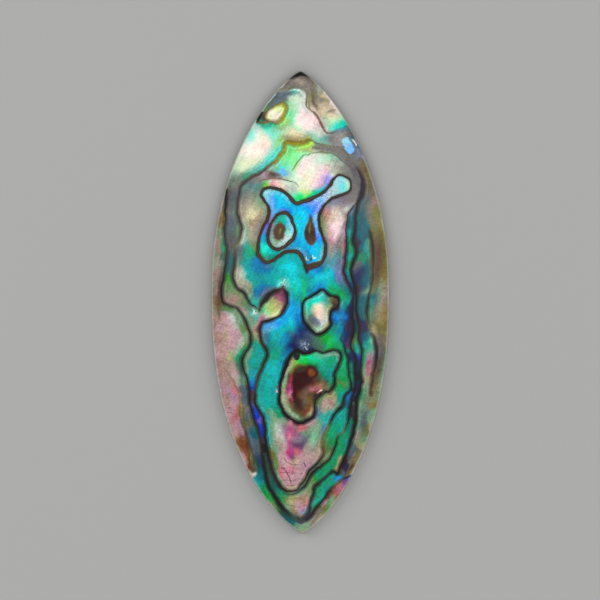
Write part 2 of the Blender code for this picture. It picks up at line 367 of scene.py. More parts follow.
    Line("drab umber drab drab drab umber drab drab umber drab drab drab", ((263.6, 189.4, 3),
         (268.3, 188.2, 3), (273, 188.2, 3.2), (283.7, 191.5, 3.5), (292.6, 200.8, 4),
         (296, 203.2, 4.2), (300, 203, 4.2), (315.2, 197.3, 3.5), (323.9, 192, 3.2),
         (330.3, 185.4, 2.9), (332.4, 181, 2.7), (335.2, 177.3, 2.7), (339.2, 175.5, 2.7),
         (343.7, 176, 2.5), (347.7, 178, 2.4), (350.3, 181.4, 2.4), (351.3, 186, 2.5),
         (350.2, 190, 2.7), (347.5, 192.8, 2.7), (343.7, 194.5, 2.9), (334.5, 197.6, 2.9),
         (330.5, 199.8, 3), (323.8, 206.3, 3), (319.5, 214.8, 3.2), (319.5, 225.3, 2.9),
         (322.4, 236, 2.9), (325.4, 245, 3.2), (325.2, 254, 3.2), (323.8, 258.7, 3.2),
         (321.2, 262.7, 3.4), (317.2, 265.3, 3.5), (309, 268.5, 3.4),
         (307, 273, 1.7)), 1.2, True, True),
    Line("umber drab umber drab drab umber drab drab", ((307, 273, 1.8), (305.6, 269, 3),
         (303.2, 259.8, 3.7), (301.2, 255.4, 3.7), (298.2, 252.8, 3.7), (294.6, 251.6, 3.7),
         (286.3, 252.2, 3.7), (281.8, 254.2, 3.7), (272.5, 260.4, 3.5), (268.3, 262.5, 3.5),
         (264.4, 261.3, 3.5), (258.8, 256, 3.7), (258, 251.3, 3.5), (258.6, 240.7, 3.2),
         (261.6, 231.5, 3.2), (268.3, 216.7, 3.3), (269.3, 212, 3.2), (268.4, 207.4, 2.8),
         (266.2, 203.3, 2.8), (261.8, 196.7, 2.8), (262, 192.6, 3),
         (263.6, 189.4, 3.2)), 1.2, True, True),
    Line("bark umber", ((304.6, 264.6, 3), (308.6, 267.4, 6), (315, 265.2, 5.4),
         (321.4, 261.4, 3.4)), 1.8, False),
    # The eye in the blue island, and the almond beside it.
    Line("drab", ((278.3, 214.2, 2.9), (282.5, 213.4, 3.5), (287.5, 213.8, 3.5), (290.8, 216.8, 3.3),
         (292.4, 221, 3.1), (295, 230.7, 3.1), (293.8, 238.6, 3.5), (290.8, 241.2, 3.5),
         (283, 247.3, 3.5), (278.5, 249.4, 3.5), (274.4, 248.9, 3.5), (271.2, 246.3, 3.5),
         (269.2, 242.6, 3.3), (268, 238, 3.1), (268.1, 233.3, 2.9), (271.2, 223.5, 2.9),
         (278.3, 214.2, 2.9)), 1.0, True, True),
    Line("umber", ((280.4, 227.8, 9.6), (279.5, 231.6, 12.6), (278.9, 235.6, 11)), 3.2, False),
    Line("olive", ((280.6, 229.4, 4), (279.8, 233, 4)), 0.6, False),
    Line("umber umber bark umber", ((310.2, 214.8, 1), (310.4, 219, 4), (309.8, 229, 9.4),
         (309.8, 234, 11), (310.6, 238.6, 10.6), (311.6, 242, 6.5)), 2.4, False),
    Line("olive", ((310, 223, 2), (309.6, 230, 3.6), (309.8, 236, 2.6)), 0.6, False),
    # The rose bead.
    Line("umber ink bark bark ink bark", ((283, 285.5, 2), (286.9, 293.5, 2.8), (287.5, 298.7, 2.8),
         (286.8, 304, 2.8), (284.9, 308.8, 2.8), (281.8, 313.3, 2.6), (277.8, 316.7, 2.6),
         (272.8, 319, 2.6), (262, 322.7, 3.2)), 1.0),
    Line("umber bark bark bark umber", ((283, 285.5, 2), (280.2, 288.6, 2.4), (271, 293.6, 4.6),
         (267, 297.2, 5.6), (263.8, 301, 4.6), (261.4, 304.6, 3), (259.3, 312, 1.4)), 1.2),
    # The white bead, with its olive shoulder.
    Line("olive umber bark", ((331.4, 299.4, 4), (334.4, 301.6, 7), (335, 305.6, 6)), 3.0, False),
    Line("ink", ((303.2, 302.5, 2.6), (305.3, 299.2, 2.6), (308.4, 297.3, 2.6), (312.4, 296, 2.6),
         (316.4, 293.9, 2.6), (319.2, 291.4, 2.6), (322, 290.2, 2.6), (325, 291.5, 2.6),
         (327.9, 294.1, 2.6), (331.2, 295.9, 2.8), (335, 296.3, 3), (337.6, 297.6, 3.2),
         (338.7, 300.4, 3), (338.3, 304, 3), (336.6, 307.2, 3), (331.6, 310.3, 2.8),
         (330.6, 313.8, 2.8), (330.2, 318.7, 2.8), (330.9, 323.2, 3), (329.6, 326.8, 3),
         (324.2, 332, 2.8), (321, 333.9, 2.8), (317.7, 334.3, 2.8), (314.2, 332.8, 2.8),
         (305.1, 323.3, 2.8), (303.6, 319.3, 2.8), (302.8, 313.3, 2.8), (303.2, 302.5, 2.6))),
    # The hook-shaped island.
    Line("maroon bark ink bark ink ink ink ink", ((313.7, 395.9, 1.2), (316.5, 394.9, 2.2),
         (319.8, 393, 2.4), (322, 391, 1.8), (327.7, 392.3, 2.2), (330.2, 391.2, 2.4),
         (334.2, 384.7, 2.4), (334.8, 373.3, 2.5), (340.2, 361.3, 2.6), (341, 357.3, 2.6),
         (340.3, 353.4, 2.6), (338.3, 351, 2.4), (332.3, 350, 2), (325.7, 352.4, 2), (322.4, 353, 2),
         (316.3, 350.6, 2), (308.3, 352.6, 3), (305, 353.2, 3), (301.7, 352.4, 3.4),
         (298.3, 350.6, 3.8))),
    Line("ink ink ink ink ink ink bark ink", ((298.3, 350.6, 3.8), (295.5, 351.4, 4),
         (289.2, 357.6, 4.2), (284.9, 369.4, 4), (281.6, 378.2, 3.8), (280.2, 389, 3.4),
         (279, 400, 3.2), (281.8, 408.2, 3.4), (287.4, 416, 3.6), (295.3, 421.6, 3.8),
         (300.2, 422.5, 3.6), (305, 421.3, 3.4), (312.4, 416.6, 3.2), (314.4, 413.2, 3.2),
         (315, 409.2, 2.8), (314.7, 405.3, 2.8), (315.3, 401.3, 2.8), (317.1, 398, 2.6),
         (322.4, 393.4, 2), (330, 391.6, 2))),
    Line("ink", ((297, 353, 4), (297, 357, 6.6)), 1.0, False),
    Line("maroon", ((311.2, 371.8, 12), (311.8, 372.6, 12)), 3.0, False),
    Line("copper", ((311.2, 371.8, 9.6), (311.8, 372.6, 9.6)), 1.6, False),
    Line("crimson crimson magenta rose crimson", ((291.4, 373, 0.8), (290, 389, 2.4), (290.4, 396, 1.8),
         (293, 402, 0.6)), 4.4, False),
    Line("khaki sage khaki sage", ((293, 361.6, 2), (288.4, 369, 3), (285.4, 378, 3), (283.6, 388, 3.4),
         (283.4, 398, 3.4), (286.4, 406, 3), (291, 412.6, 3), (298, 417.4, 3)), 3.4, False),
    Line("bark", ((297, 371, 3), (301, 369.6, 5), (306, 368.4, 4)), 3.0, False),
    # Hair lines.
    Line("moss moss olive shade shade", ((291.5, 171, 1), (295.5, 166.3, 1.2), (298.2, 161.4, 1.2),
         (302.6, 156.2, 1.2), (305.2, 155.1, 1.1), (308.3, 155.8, 1.1), (310.6, 154.2, 1.1),
         (314.3, 153, 1.2), (325, 152.6, 1.3), (331, 153.7, 1.2), (338.4, 157.4, 1.1),
         (347.7, 165.8, 1.1), (353.8, 170, 1), (358.3, 176.5, 1))),
    Line("umber rust rust umber olive", ((259, 181.5, 0.9), (262, 180, 1.2), (271.7, 178.4, 1.5),
         (283.7, 179.6, 1.3), (292.3, 182.2, 1.2), (296, 184.4, 1.1), (298.3, 187, 0.8)), 0.9),
    Line("rust plum crimson", ((281.7, 465.3, 0.8), (289, 476, 1.2), (290.4, 480, 1.1),
         (290.6, 485, 0.8)), 0.8, False),
    Line("rust smoke smoke", ((284, 457.5, 0.8), (286.6, 461.6, 1), (290.3, 464, 1.1),
         (294.3, 464.5, 1), (298.3, 464, 0.8)), 0.8, False),
    Line("plum", ((303.4, 461.5, 0.8), (304.8, 464.3, 1.3), (306.3, 467, 0.9)), 0.8, False),
    Line("shade", ((276.6, 385.8, 2), (277.4, 387.8, 2.2)), 0.9, False),
    Line("ink", ((310.8, 255.5, 0.9), (311.8, 258, 1.3), (310.4, 261, 1)), 0.8, False),
    Line("ink", ((306.8, 340, 0.9), (307.2, 343.5, 1.2), (306, 347, 0.9)), 0.8, False),
    # Painted glints: light caught where the layers break.
    Line("ice aqua foam", ((277, 287, 0.6), (279.6, 284.4, 0.9), (281.6, 281.8, 0.6)), 0.9, False),
    Line("foam", ((283.5, 283.5, 0.8), (284.6, 280.8, 1.1), (286, 279.6, 0.7)), 0.8, False),
    Line("foam mist", ((252.6, 309.6, 0.8), (254.2, 312.4, 1.3), (256, 314.8, 0.8)), 0.8, False),
    Line("mist", ((252.4, 314.4, 0.7), (254.6, 311.2, 1)), 0.8, False),
    Line("mist", ((305.2, 346.4, 0.7), (306.4, 348.4, 1.3), (308, 349.4, 0.7)), 0.8, False),
    Line("mist", ((308, 343.6, 0.7), (309.4, 345.8, 0.9)), 0.8, False),
    Line("pink", ((276.4, 390, 1), (277, 391.6, 1.6)), 0.9, False),
    Line("foam", ((306.4, 256.4, 0.8), (307, 259.4, 1.4), (309, 260.6, 0.8)), 0.9, False),
    Line("foam", ((312.4, 256, 0.8), (313.2, 258.6, 1.3), (316, 257.6, 0.8)), 0.9, False),
    Line("rose pearl", ((316.6, 392.6, 0.7), (319.4, 390.6, 1.2), (322, 388.8, 0.8)), 0.9, False),
    # The magenta streak in the pink keel, and the green edge in the teal middle.
    Line("rose magenta rose magenta magenta plum", ((291.4, 421, 3), (290, 430, 4), (289.6, 440, 3.4),
         (290.4, 450, 5), (292.6, 458, 3.4)), 5.6, False),
    Line("emerald", ((302.4, 276, 1), (304, 285, 3), (304.4, 293, 3), (303, 301, 1)), 5.0, False),
    # Scratches left by the grinding, across the long tip.
    Line("umber", ((225.6, 408.6, 0.5), (229.6, 408, 0.8), (233.4, 408.8, 0.4)), 0.8, False),
    Line("umber", ((226.6, 412.6, 0.4), (231, 412.2, 0.7), (234, 413.4, 0.4)), 0.8, False),
    Line("umber", ((270, 466.8, 0.4), (284, 467.8, 0.7), (299, 467.6, 0.4)), 0.8, False),
    Line("umber", ((274, 473.4, 0.4), (288, 472.6, 0.6), (305, 473.8, 0.4)), 0.8, False),
    Line("umber", ((277, 479.6, 0.4), (291, 480.2, 0.7), (303, 479.4, 0.4)), 0.8, False),
    Line("umber", ((281, 485.2, 0.4), (290, 485.8, 0.6), (299, 485, 0.4)), 0.8, False),
    Line("olive", ((269, 491.8, 0.4), (287, 498.2, 0.5), (306, 498.8, 0.4)), 0.8, False),
    Line("pine", ((276, 499.4, 0.4), (291, 505.6, 0.6), (305, 505, 0.4)), 0.8, False),
    Line("pine", ((308, 495.8, 0.4), (318, 496.8, 0.6), (327, 496.2, 0.4)), 0.8, False),
)

# Patches inside the cells: colour, x, y, half width, and for a long patch half length and lean in degrees.
PATCHES = (
    # Crown, above and right of its arc.
    ("smoke", 298, 79, 5), ("smoke", 293, 81, 4), ("ochre", 300, 84.5, 3), ("smoke", 289, 86, 3),
    ("ash", 281, 90, 3), ("smoke", 309, 78, 4), ("olive", 309, 85, 4, 6, 0), ("smoke", 313, 92, 4),
    ("khaki", 316, 85, 2, 6, -35), ("smoke", 315, 99, 5), ("khaki", 322, 98, 3.5),
    ("sage", 326, 104, 4), ("cream", 314, 108, 3), ("peach", 322, 111, 4), ("coral", 328, 108, 4),
    ("khaki", 323, 116, 3), ("sage", 325, 121, 3), ("sand", 318, 113, 3),
    ("sand", 332, 111.5, 2, 7, 70), ("cream", 333, 118, 4), ("foam", 339, 116, 3),
    ("mint", 332, 124, 3.5), ("aqua", 333, 129, 2.5), ("glow", 342, 125.5, 3), ("glow", 344, 122, 2),
    ("mist", 327, 129, 2.5), ("blush", 327, 93, 2, 5, -35), ("peach", 330, 98, 2, 5, -35),
    ("pearl", 334, 102.5, 3.4, 8, -32), ("pearl", 338, 110, 2.5), ("mist", 318, 88.5, 2),
    # Slate band and white patch left of the crown's arc.
    ("slate", 282, 97, 4), ("slate", 276, 101, 4), ("steel", 291, 92, 3), ("slate", 296, 91, 3),
    ("moss", 283, 100.5, 2), ("slate", 270, 105, 4), ("moss", 266, 109, 3),
    ("pearl", 275.6, 112.6, 4.5, 7, 65), ("cream", 270.6, 116.6, 3), ("lime", 281.6, 107.6, 2.4),
    ("pearl", 278, 116, 3), ("lime", 268, 119.4, 1.4),
    # The wide pearl patch below the crown: pale pastel nacre, partly a painted soft reflection of the
    # light on the polished dome.
    ("lime", 285, 123, 3), ("khaki", 284.6, 127.6, 3), ("cream", 280, 126.5, 3), ("mint", 290, 121, 4),
    ("mint", 292, 114, 4), ("mint", 296, 106, 3), ("peach", 293, 102, 3), ("foam", 298, 95, 4),
    ("pearl", 303, 98, 4), ("pearl", 303, 107, 4), ("blush", 305, 116, 6), ("blush", 312, 119, 5),
    ("blush", 315, 127, 5), ("pink", 318, 129.6, 3), ("pearl", 309, 126, 5), ("pearl", 301, 127, 4),
    ("cream", 299, 133.6, 3.4), ("peach", 294, 134.6, 3), ("peach", 291, 129.6, 3),
    ("mint", 297, 129, 2.4), ("cream", 285, 134, 3), ("khaki", 288, 137, 2.5), ("ochre", 294, 140, 2.5),
    ("khaki", 301, 138.5, 3), ("gold", 309, 138.6, 2), ("mint", 314, 136.5, 3),
    ("reef", 318.5, 139.5, 3), ("foam", 325, 136, 4), ("sage", 318, 132, 3), ("mist", 310, 133, 3),
    ("aqua", 330, 139, 3),
    # Grey band right of it, with the light blue patch.
    ("smoke", 334, 135.5, 4), ("sand", 339, 136, 1.4), ("smoke", 325, 140.5, 3),
    ("smoke", 339, 144.5, 3), ("mauve", 333, 141, 4), ("steel", 346, 133, 4), ("slate", 341, 148, 2.5),
    ("slate", 349, 135, 2.5), ("steel", 352, 142, 2), ("steel", 356, 152, 3), ("slate", 353, 156, 3),
    ("lilac", 360, 156, 3), ("smoke", 355, 159, 4), ("mauve", 340, 143.5, 3), ("moss", 327, 142, 2),
    # Strip under the long line, down to the bulb.
    ("smoke", 321, 148.5, 4), ("smoke", 335, 150, 4), ("shade", 345, 155, 4), ("smoke", 328, 147.5, 3),
    ("coral", 309, 150.5, 2, 6, 80), ("moss", 316, 148, 2.5), ("smoke", 352, 178, 5),
    ("smoke", 354, 195, 4), ("smoke", 341, 168, 4), ("smoke", 346, 172, 4),
    # Right rim, upper part: partly the lower layers seen at the steep edge, partly painted shade and sheen
    # where the dome slopes away.
    ("ochre", 362, 163, 3.5), ("ochre", 368, 178, 4), ("smoke", 369, 189, 4), ("shell", 375, 200, 3),
    ("smoke", 368, 205, 4), ("olive", 375, 214, 4), ("ochre", 380, 212, 3), ("khaki", 380, 222, 4),
    ("ochre", 384, 240, 4), ("olive", 377, 250, 4), ("moss", 376, 262, 3), ("ochre", 385, 272, 5),
    ("putty", 386, 290, 5), ("olive", 384, 256, 4), ("putty", 381, 303, 4), ("ochre", 384, 314, 4),
    ("sage", 380, 292, 3), ("petrol", 375, 295, 2.5), ("petrol", 372.5, 300, 2.5),
    ("reef", 371, 306, 2.5), ("moss", 370, 313, 2.5), ("smoke", 374, 314, 3), ("khaki", 379, 317, 3),
    ("olive", 380, 328, 4), ("ochre", 387, 331, 4), ("putty", 387, 342, 4), ("olive", 381, 350, 4),
    ("sage", 384, 363, 4), ("sage", 379, 375, 4), ("sand", 376, 384, 3), ("ochre", 372, 396, 3),
    ("putty", 369, 390, 2.5), ("sage", 377, 395, 2), ("sand", 374.6, 331, 1.6, 6, -12),
    # Rim left of the crown: its pearl and cream patches are pale nacre, partly a painted soft reflection
    # of the light on the polished dome.
    ("teal", 270, 126, 3), ("emerald", 268.5, 124.6, 2.5), ("jade", 262, 125, 2.5),
    ("aqua", 268, 130, 3.5), ("mist", 257, 128, 3), ("aqua", 251, 136, 3.5), ("pearl", 259, 138, 5),
    ("peach", 266, 139, 4), ("peach", 265, 145, 5), ("mist", 270, 150, 4), ("pearl", 254, 149, 6),
    ("pearl", 258, 156, 6), ("cream", 246, 163, 4), ("aqua", 272, 135, 3.5), ("mint", 276, 143, 3),
    ("aqua", 277, 150, 2.5, 5, 10), ("aqua", 272, 156, 3), ("lime", 279.5, 141, 2),
    ("khaki", 281, 137, 2), ("mist", 245, 160, 4), ("foam", 240, 168, 4), ("cream", 247, 166, 4),
    ("cream", 252, 161, 4), ("jade", 246, 175, 2.6), ("reef", 251, 171.5, 3), ("reef", 262, 166, 3),
    ("slate", 235, 176, 3), ("mist", 260, 162, 3), ("sage", 232, 183, 3), ("aqua", 266, 160, 3),
    # The green fan under the gold bridge.
    ("lime", 304, 147.5, 3), ("lime", 302, 150, 3), ("moss", 307, 151.5, 1.6),
    ("mint", 301, 154.5, 2.5), ("mint", 296, 156, 3), ("mint", 290, 152, 4), ("lime", 285, 158, 3.5),
    ("lime", 293, 161, 3.5), ("mint", 288, 164, 3.5), ("aqua", 281, 165, 4), ("foam", 275, 166.5, 3),
    ("sage", 270, 169.5, 3), ("mauve", 270, 174.5, 2.5), ("rose", 278, 175.7, 2.5),
    ("azure", 283, 172.5, 2.5), ("steel", 283, 176, 2), ("mint", 288, 157, 4), ("mist", 287, 169, 3),
    ("sand", 262, 176.5, 2.5),
    # The pink dome: pale pink nacre, partly a painted soft reflection of the light on the polished dome.
    ("blush", 311, 161, 5), ("blush", 304, 168, 6), ("pearl", 302, 174, 4), ("foam", 320, 156, 5),
    ("mint", 334, 160, 4.5), ("peach", 330, 165.5, 3.5), ("pink", 325, 170, 4), ("iris", 326, 180, 4),
    ("pink", 321, 187, 2.5), ("blush", 318, 180, 4), ("cream", 309, 179, 4), ("cream", 304, 188, 3),
    ("lime", 306.6, 194, 2), ("spring", 313, 193.8, 2.8), ("spring", 301, 197.2, 2),
    ("mint", 296, 195, 2.5), ("foam", 297, 181, 5), ("cream", 335, 173, 3), ("pearl", 317, 169, 5),
    ("foam", 311, 171, 4), ("mint", 324, 162, 3), ("blush", 312, 187, 3), ("smoke", 343, 171, 3),
    ("foam", 291, 177, 3), ("cyan", 318, 191, 2), ("pink", 337, 166, 3),
    # The pink bar under the brow.
    ("lime", 265.5, 185.5, 1.4), ("leaf", 263.5, 186, 1.2), ("pink", 274, 182.5, 2.4),
    ("peach", 280, 184, 3), ("mist", 287, 185.5, 3), ("orchid", 292, 189, 3),
    # The putty cell.
    ("reef", 250, 185, 4), ("smoke", 245, 195, 5), ("slate", 256, 190, 4), ("sage", 259, 203, 4),
    ("sage", 263, 207, 3), ("cream", 250, 211, 5), ("sand", 255.5, 206, 3.4), ("sand", 251, 203, 3),
    ("shell", 256, 221, 2.4), ("cream", 247, 218, 4), ("sand", 260, 215, 4), ("smoke", 259, 225, 4),
    ("smoke", 258, 232, 3), ("sage", 247, 230, 3), ("mist", 244, 238, 3), ("putty", 254, 237, 3),
    ("smoke", 246, 203, 4), ("umber", 252, 223, 2), ("putty", 243, 211, 3), ("sage", 258, 198, 3),
    # The slate strip on the left.
    ("smoke", 231, 184, 4), ("shade", 228, 196, 3), ("slate", 233, 201, 3), ("smoke", 230, 212, 3),
    ("slate", 230, 226, 4), ("moss", 236, 214, 1.8), ("moss", 238, 230, 2.5), ("shade", 232, 239, 3),
    ("shade", 232, 250, 3), ("petrol", 229, 262, 3), ("pine", 230, 270, 3), ("leaf", 229, 277, 2.5),
    ("leaf", 230, 283, 2.5), ("moss", 227.5, 287, 2.5), ("putty", 228.5, 293, 3),
    ("shell", 231, 300, 4), ("shell", 236, 301, 3), ("moss", 237, 292.5, 1.6, 5, -50),
    ("moss", 243, 299, 1.8, 5, -25), ("leaf", 246.5, 304, 2), ("orchid", 244.5, 309, 2),
    ("pine", 249.5, 307.5, 2), ("sage", 252, 317, 3), ("sage", 250, 323, 2.5), ("reef", 254, 314, 2),
    ("slate", 234, 220, 3), ("smoke", 238, 180, 3),
    # The left rim: partly the lower layers seen at the steep edge, partly painted shade and sheen where
    # the dome slopes away.
    ("putty", 221, 205, 3), ("ochre", 220, 220, 3), ("putty", 216, 235, 3), ("shell", 216, 246, 3),
    ("shell", 219, 251, 2.5), ("jade", 222.5, 248, 1.6), ("sage", 222, 262, 2.5),
    ("sage", 215, 262, 2.5), ("shell", 216, 270, 3), ("putty", 215, 285, 3), ("ochre", 214.5, 300, 3),
    ("putty", 214.5, 310, 3), ("shell", 215, 320, 3), ("shell", 219, 340, 4), ("orchid", 220, 352, 4),
    ("shell", 218, 362, 3), ("sage", 219, 232, 2), ("pine", 221.5, 258, 1.4), ("ochre", 223, 190, 3),
    # The cell of blue and teal inside the shoulder line.
    ("slate", 242, 250, 3), ("reef", 247, 247, 3), ("emerald", 249, 250.5, 2),
    ("emerald", 251, 254, 2.5), ("teal", 247, 262, 4), ("moss", 254, 246, 2.5), ("sand", 253, 239, 3),
    ("slate", 240, 257, 2.5), ("royal", 256, 268, 4), ("teal", 252, 276, 4), ("lagoon", 246, 268, 2.5),
    ("teal", 263, 277, 4), ("steel", 267, 268, 2.5), ("sand", 240, 267, 3), ("mist", 242, 277, 3),
    ("sand", 244, 283, 3), ("putty", 247, 288.5, 3), ("sage", 250, 293, 3), ("reef", 253, 300, 3),
    ("reef", 256, 303, 2.5), ("steel", 263, 292, 3), ("royal", 260, 288, 3), ("teal", 258, 284, 3),
    ("mist", 240, 274, 2), ("sage", 238, 262, 1.8),
    # The teal cell in the middle.
    ("lagoon", 285, 262, 4), ("teal", 283, 258.5, 3), ("cyan", 292, 268, 5), ("cyan", 295, 273, 4),
    ("reef", 287, 276, 4), ("lagoon", 279, 272, 4), ("teal", 300, 262, 3.5), ("jade", 302, 275, 3),
    ("aqua", 279.5, 283, 2, 4, 45), ("aqua", 291, 283, 3.5), ("reef", 290, 291, 4),
    ("sky", 290, 304, 3.6), ("cyan", 291, 315, 4), ("emerald", 303, 289, 4), ("teal", 299, 300, 3),
    ("teal", 302, 293, 3), ("azure", 312, 275, 4), ("cyan", 322, 278, 4), ("azure", 318, 285, 4),
    ("lagoon", 328, 275, 4), ("emerald", 334, 286, 3), ("emerald", 338, 290.5, 3),
    ("jade", 307, 280, 2.5), ("teal", 273, 281, 3), ("lagoon", 296, 284, 3), ("azure", 296, 309, 3),
    ("royal", 311, 291, 2.5),
    # Inside the blue island.
    ("aqua", 267, 193, 3), ("sky", 272, 199, 3.5), ("cyan", 284, 203.5, 4), ("cyan", 297, 208.5, 4),
    ("sky", 275, 208, 3.5), ("iris", 289, 209.5, 2.5), ("cyan", 300, 216, 3.5),
    ("lagoon", 296, 216, 1.4), ("cyan", 302, 225, 4.6), ("cyan", 298, 222, 2.4),
    ("lilac", 269.5, 217, 2.5), ("violet", 266, 226, 2.2), ("royal", 262.6, 239, 2.4),
    ("glow", 262, 246.5, 3), ("glow", 265.5, 252, 3), ("olive", 261.5, 254.5, 1.5),
    ("rust", 268, 258.5, 2), ("iris", 307, 207, 3.5), ("iris", 312, 203, 3), ("sky", 319, 199.6, 2.6),
    ("sky", 316.5, 222, 2.5), ("iris", 317.5, 238, 2.4), ("azure", 300, 241, 4),
    ("steel", 294, 248, 2.5), ("azure", 310, 249.5, 4), ("cyan", 318, 250.5, 3.5),
    ("reef", 296.6, 231, 1.6), ("cyan", 301, 233, 3), ("ice", 340, 183.5, 4), ("aqua", 343, 186, 3.5),
    ("cream", 347.5, 184, 2), ("mist", 334, 189, 3), ("azure", 301, 247, 2), ("azure", 312, 259, 3),
    ("reef", 322, 256, 2.5), ("iris", 315, 209, 3.5), ("violet", 284, 209.5, 2),
    ("lilac", 328, 194.5, 2.4), ("lagoon", 270, 254.5, 2.5), ("steel", 308, 256, 2.5),
    ("iris", 264.5, 231, 2), ("azure", 291, 206.5, 3),
    # Inside the eye.
    ("emerald", 281.5, 219.5, 2), ("lagoon", 285, 221.5, 2.5), ("sky", 289.5, 224, 2.5),
    ("putty", 273.5, 225, 2.5), ("steel", 272, 232, 2), ("aqua", 291, 232, 2.5),
    ("mist", 288, 239, 2.2), ("sage", 277, 244.5, 2), ("sage", 273, 240, 2.5), ("teal", 278, 221, 2),
    ("mist", 289.5, 236, 2),
    # The rose cell right of the island.
    ("steel", 335, 202, 4), ("mauve", 345, 200, 4), ("smoke", 350, 195, 3), ("putty", 340, 208, 4),
    ("rose", 327, 213, 2.5), ("mist", 347, 207.5, 2), ("blush", 336, 227, 5),
    ("pearl", 337.5, 221, 4, 8, 15), ("orchid", 329.5, 231, 2.4), ("sand", 328, 220, 3),
    ("moss", 322.3, 224, 1.8), ("moss", 324.2, 232, 2), ("smoke", 325.5, 239, 2),
    ("shell", 344, 230, 2), ("smoke", 341, 240, 3), ("coral", 343.5, 246, 2.5), ("smoke", 338, 246, 3),
    ("rose", 331.5, 249, 3), ("reef", 328.5, 256, 3), ("reef", 334, 258, 3), ("reef", 329.6, 265, 3),
    ("lilac", 334.6, 267, 2.6), ("lilac", 336, 272, 4), ("lilac", 339, 277, 3),
    ("steel", 339.5, 262, 3), ("rose", 343, 262, 1.6), ("steel", 324, 266, 3), ("royal", 319, 270, 3),
    ("sand", 333, 215, 3), ("orchid", 333, 240, 3), ("petrol", 345, 288, 3), ("blush", 336, 233, 3),
    # Strip between the two right-hand lines.
    ("steel", 352, 212, 2), ("petrol", 350.5, 224, 2.5), ("teal", 350.5, 235, 2.5),
    ("jade", 350.5, 246, 2.5), ("teal", 350.5, 256, 2.5), ("jade", 348, 267, 2), ("teal", 348, 275, 2),
    ("royal", 351.5, 282, 1.5), ("slate", 354.4, 300, 1), ("slate", 355, 313, 1),
    ("petrol", 356, 330, 1.4), ("moss", 353.5, 344, 2), ("teal", 356, 347.5, 2),
    ("reef", 357, 352, 1.8), ("cobalt", 358, 357, 1.8), ("navy", 358, 365, 2), ("ink", 357.7, 376, 2),
    ("navy", 358, 384, 2), ("grape", 356.3, 392, 2), ("grape", 353, 402, 2),
    # The deep strip right of them.
    ("slate", 365, 203, 3), ("petrol", 362, 215, 3), ("petrol", 361, 227, 2.5),
    ("petrol", 362, 237, 2.5), ("grape", 357.5, 243, 2), ("petrol", 361.5, 248, 2),
    ("reef", 367, 250, 2.5), ("jade", 363, 257.5, 2.5), ("petrol", 366, 266, 2.5),
    ("smoke", 357, 267.5, 2), ("navy", 358, 277, 2.5), ("grape", 358.5, 287, 2),
    ("petrol", 365, 284, 2.5), ("sage", 367.5, 289, 2), ("petrol", 361.5, 300, 2),
    ("petrol", 360.5, 312, 2.5), ("navy", 364, 324, 2), ("grape", 361.8, 328.5, 2),
    ("navy", 361.5, 338, 2), ("petrol", 366, 337, 2.2), ("teal", 366.3, 345, 2.5),
    ("jade", 365, 353, 2.5), ("jade", 363.5, 361, 2), ("sage", 364, 373, 2.5),
    ("foam", 371, 341.5, 1.6), ("magenta", 369.6, 362, 1.6, 8, 0), ("pink", 369.4, 356, 1.8),
    ("orchid", 368.6, 366, 1.6), ("rose", 369, 370, 1.8), ("khaki", 367, 379, 2.5),
    ("sage", 366, 389, 2.5), ("jade", 362, 396, 2), ("sage", 360.5, 402, 2.5), ("mint", 371, 350, 1.8),
    ("petrol", 358.5, 221, 1.8), ("navy", 361.5, 272, 2),
    # Left of the right-hand lines, down to the green tongue.
    ("azure", 334.5, 314, 3), ("royal", 337.6, 320, 2.6), ("royal", 341, 328, 2.5),
    ("plum", 337, 311, 1.8), ("emerald", 344, 296.5, 2.5), ("sage", 340.5, 306, 2),
    ("grape", 348, 325, 2.5), ("navy", 346.4, 339, 2.2), ("plum", 349, 345, 2), ("navy", 350, 358, 2),
    ("petrol", 352, 372, 2), ("petrol", 353, 384, 2), ("emerald", 343.5, 360, 2.2),
    ("emerald", 345.5, 368, 2.4), ("jade", 345, 377, 2.4), ("moss", 346.5, 386, 2),
    ("emerald", 341, 389, 2.5), ("teal", 342, 394.5, 2.5), ("moss", 338.5, 382, 2),
    ("navy", 348.6, 335, 1.6), ("navy", 348, 311, 2), ("royal", 344, 315, 2), ("teal", 346, 303, 2.5),
    ("emerald", 340, 374, 2.2), ("royal", 338.5, 333, 2),
    # The rose bead.
    ("plum", 284, 300, 2.2, 8, 10), ("grape", 281.6, 292.5, 2), ("plum", 275, 294.5, 2),
    ("magenta", 280.4, 299.5, 3), ("orchid", 277, 306, 2.5), ("lime", 273, 309, 3.4),
    ("mint", 266.5, 311, 2.6), ("cream", 275.5, 314, 2.5), ("khaki", 270, 304, 2.4),
    ("leaf", 262, 310.5, 1.4), ("pink", 265.5, 316, 2), ("magenta", 262.3, 318.5, 1.3),
    ("khaki", 275, 299.4, 2), ("rose", 279.5, 294, 2),
    # The white bead.
    ("glow", 313, 301, 3.2), ("aqua", 320, 297.5, 3.2), ("reef", 328, 303, 2.5),
    ("cream", 315, 305.5, 2.2), ("peach", 315, 308.5, 2), ("mint", 306.5, 310, 2.4),
    ("sage", 305.6, 318, 2), ("peach", 317.5, 311.6, 2.6), ("blush", 321.5, 317, 2.4),
    ("cream", 326, 309, 2.4), ("slate", 312.4, 318.5, 3.2), ("steel", 317, 320.5, 2),
    ("mist", 323, 323, 2.6), ("foam", 319, 328.5, 2.4), ("khaki", 325.5, 328, 2),
    ("olive", 334, 303, 3), ("teal", 307, 303, 1.8), ("glow", 309.5, 303, 2), ("smoke", 314, 323, 2.4),
    ("reef", 325, 297, 2),
    # The green field below and right of it.
    ("jade", 331, 332, 3), ("leaf", 324, 340, 3), ("spring", 331, 343.5, 2.4),
    ("emerald", 338, 343, 2.6), ("moss", 333, 347.6, 2), ("teal", 336.5, 326, 2.6),
    ("teal", 337, 336, 2.4), ("emerald", 333, 338.5, 3),
    # Blue and teal middle below the rose bead.
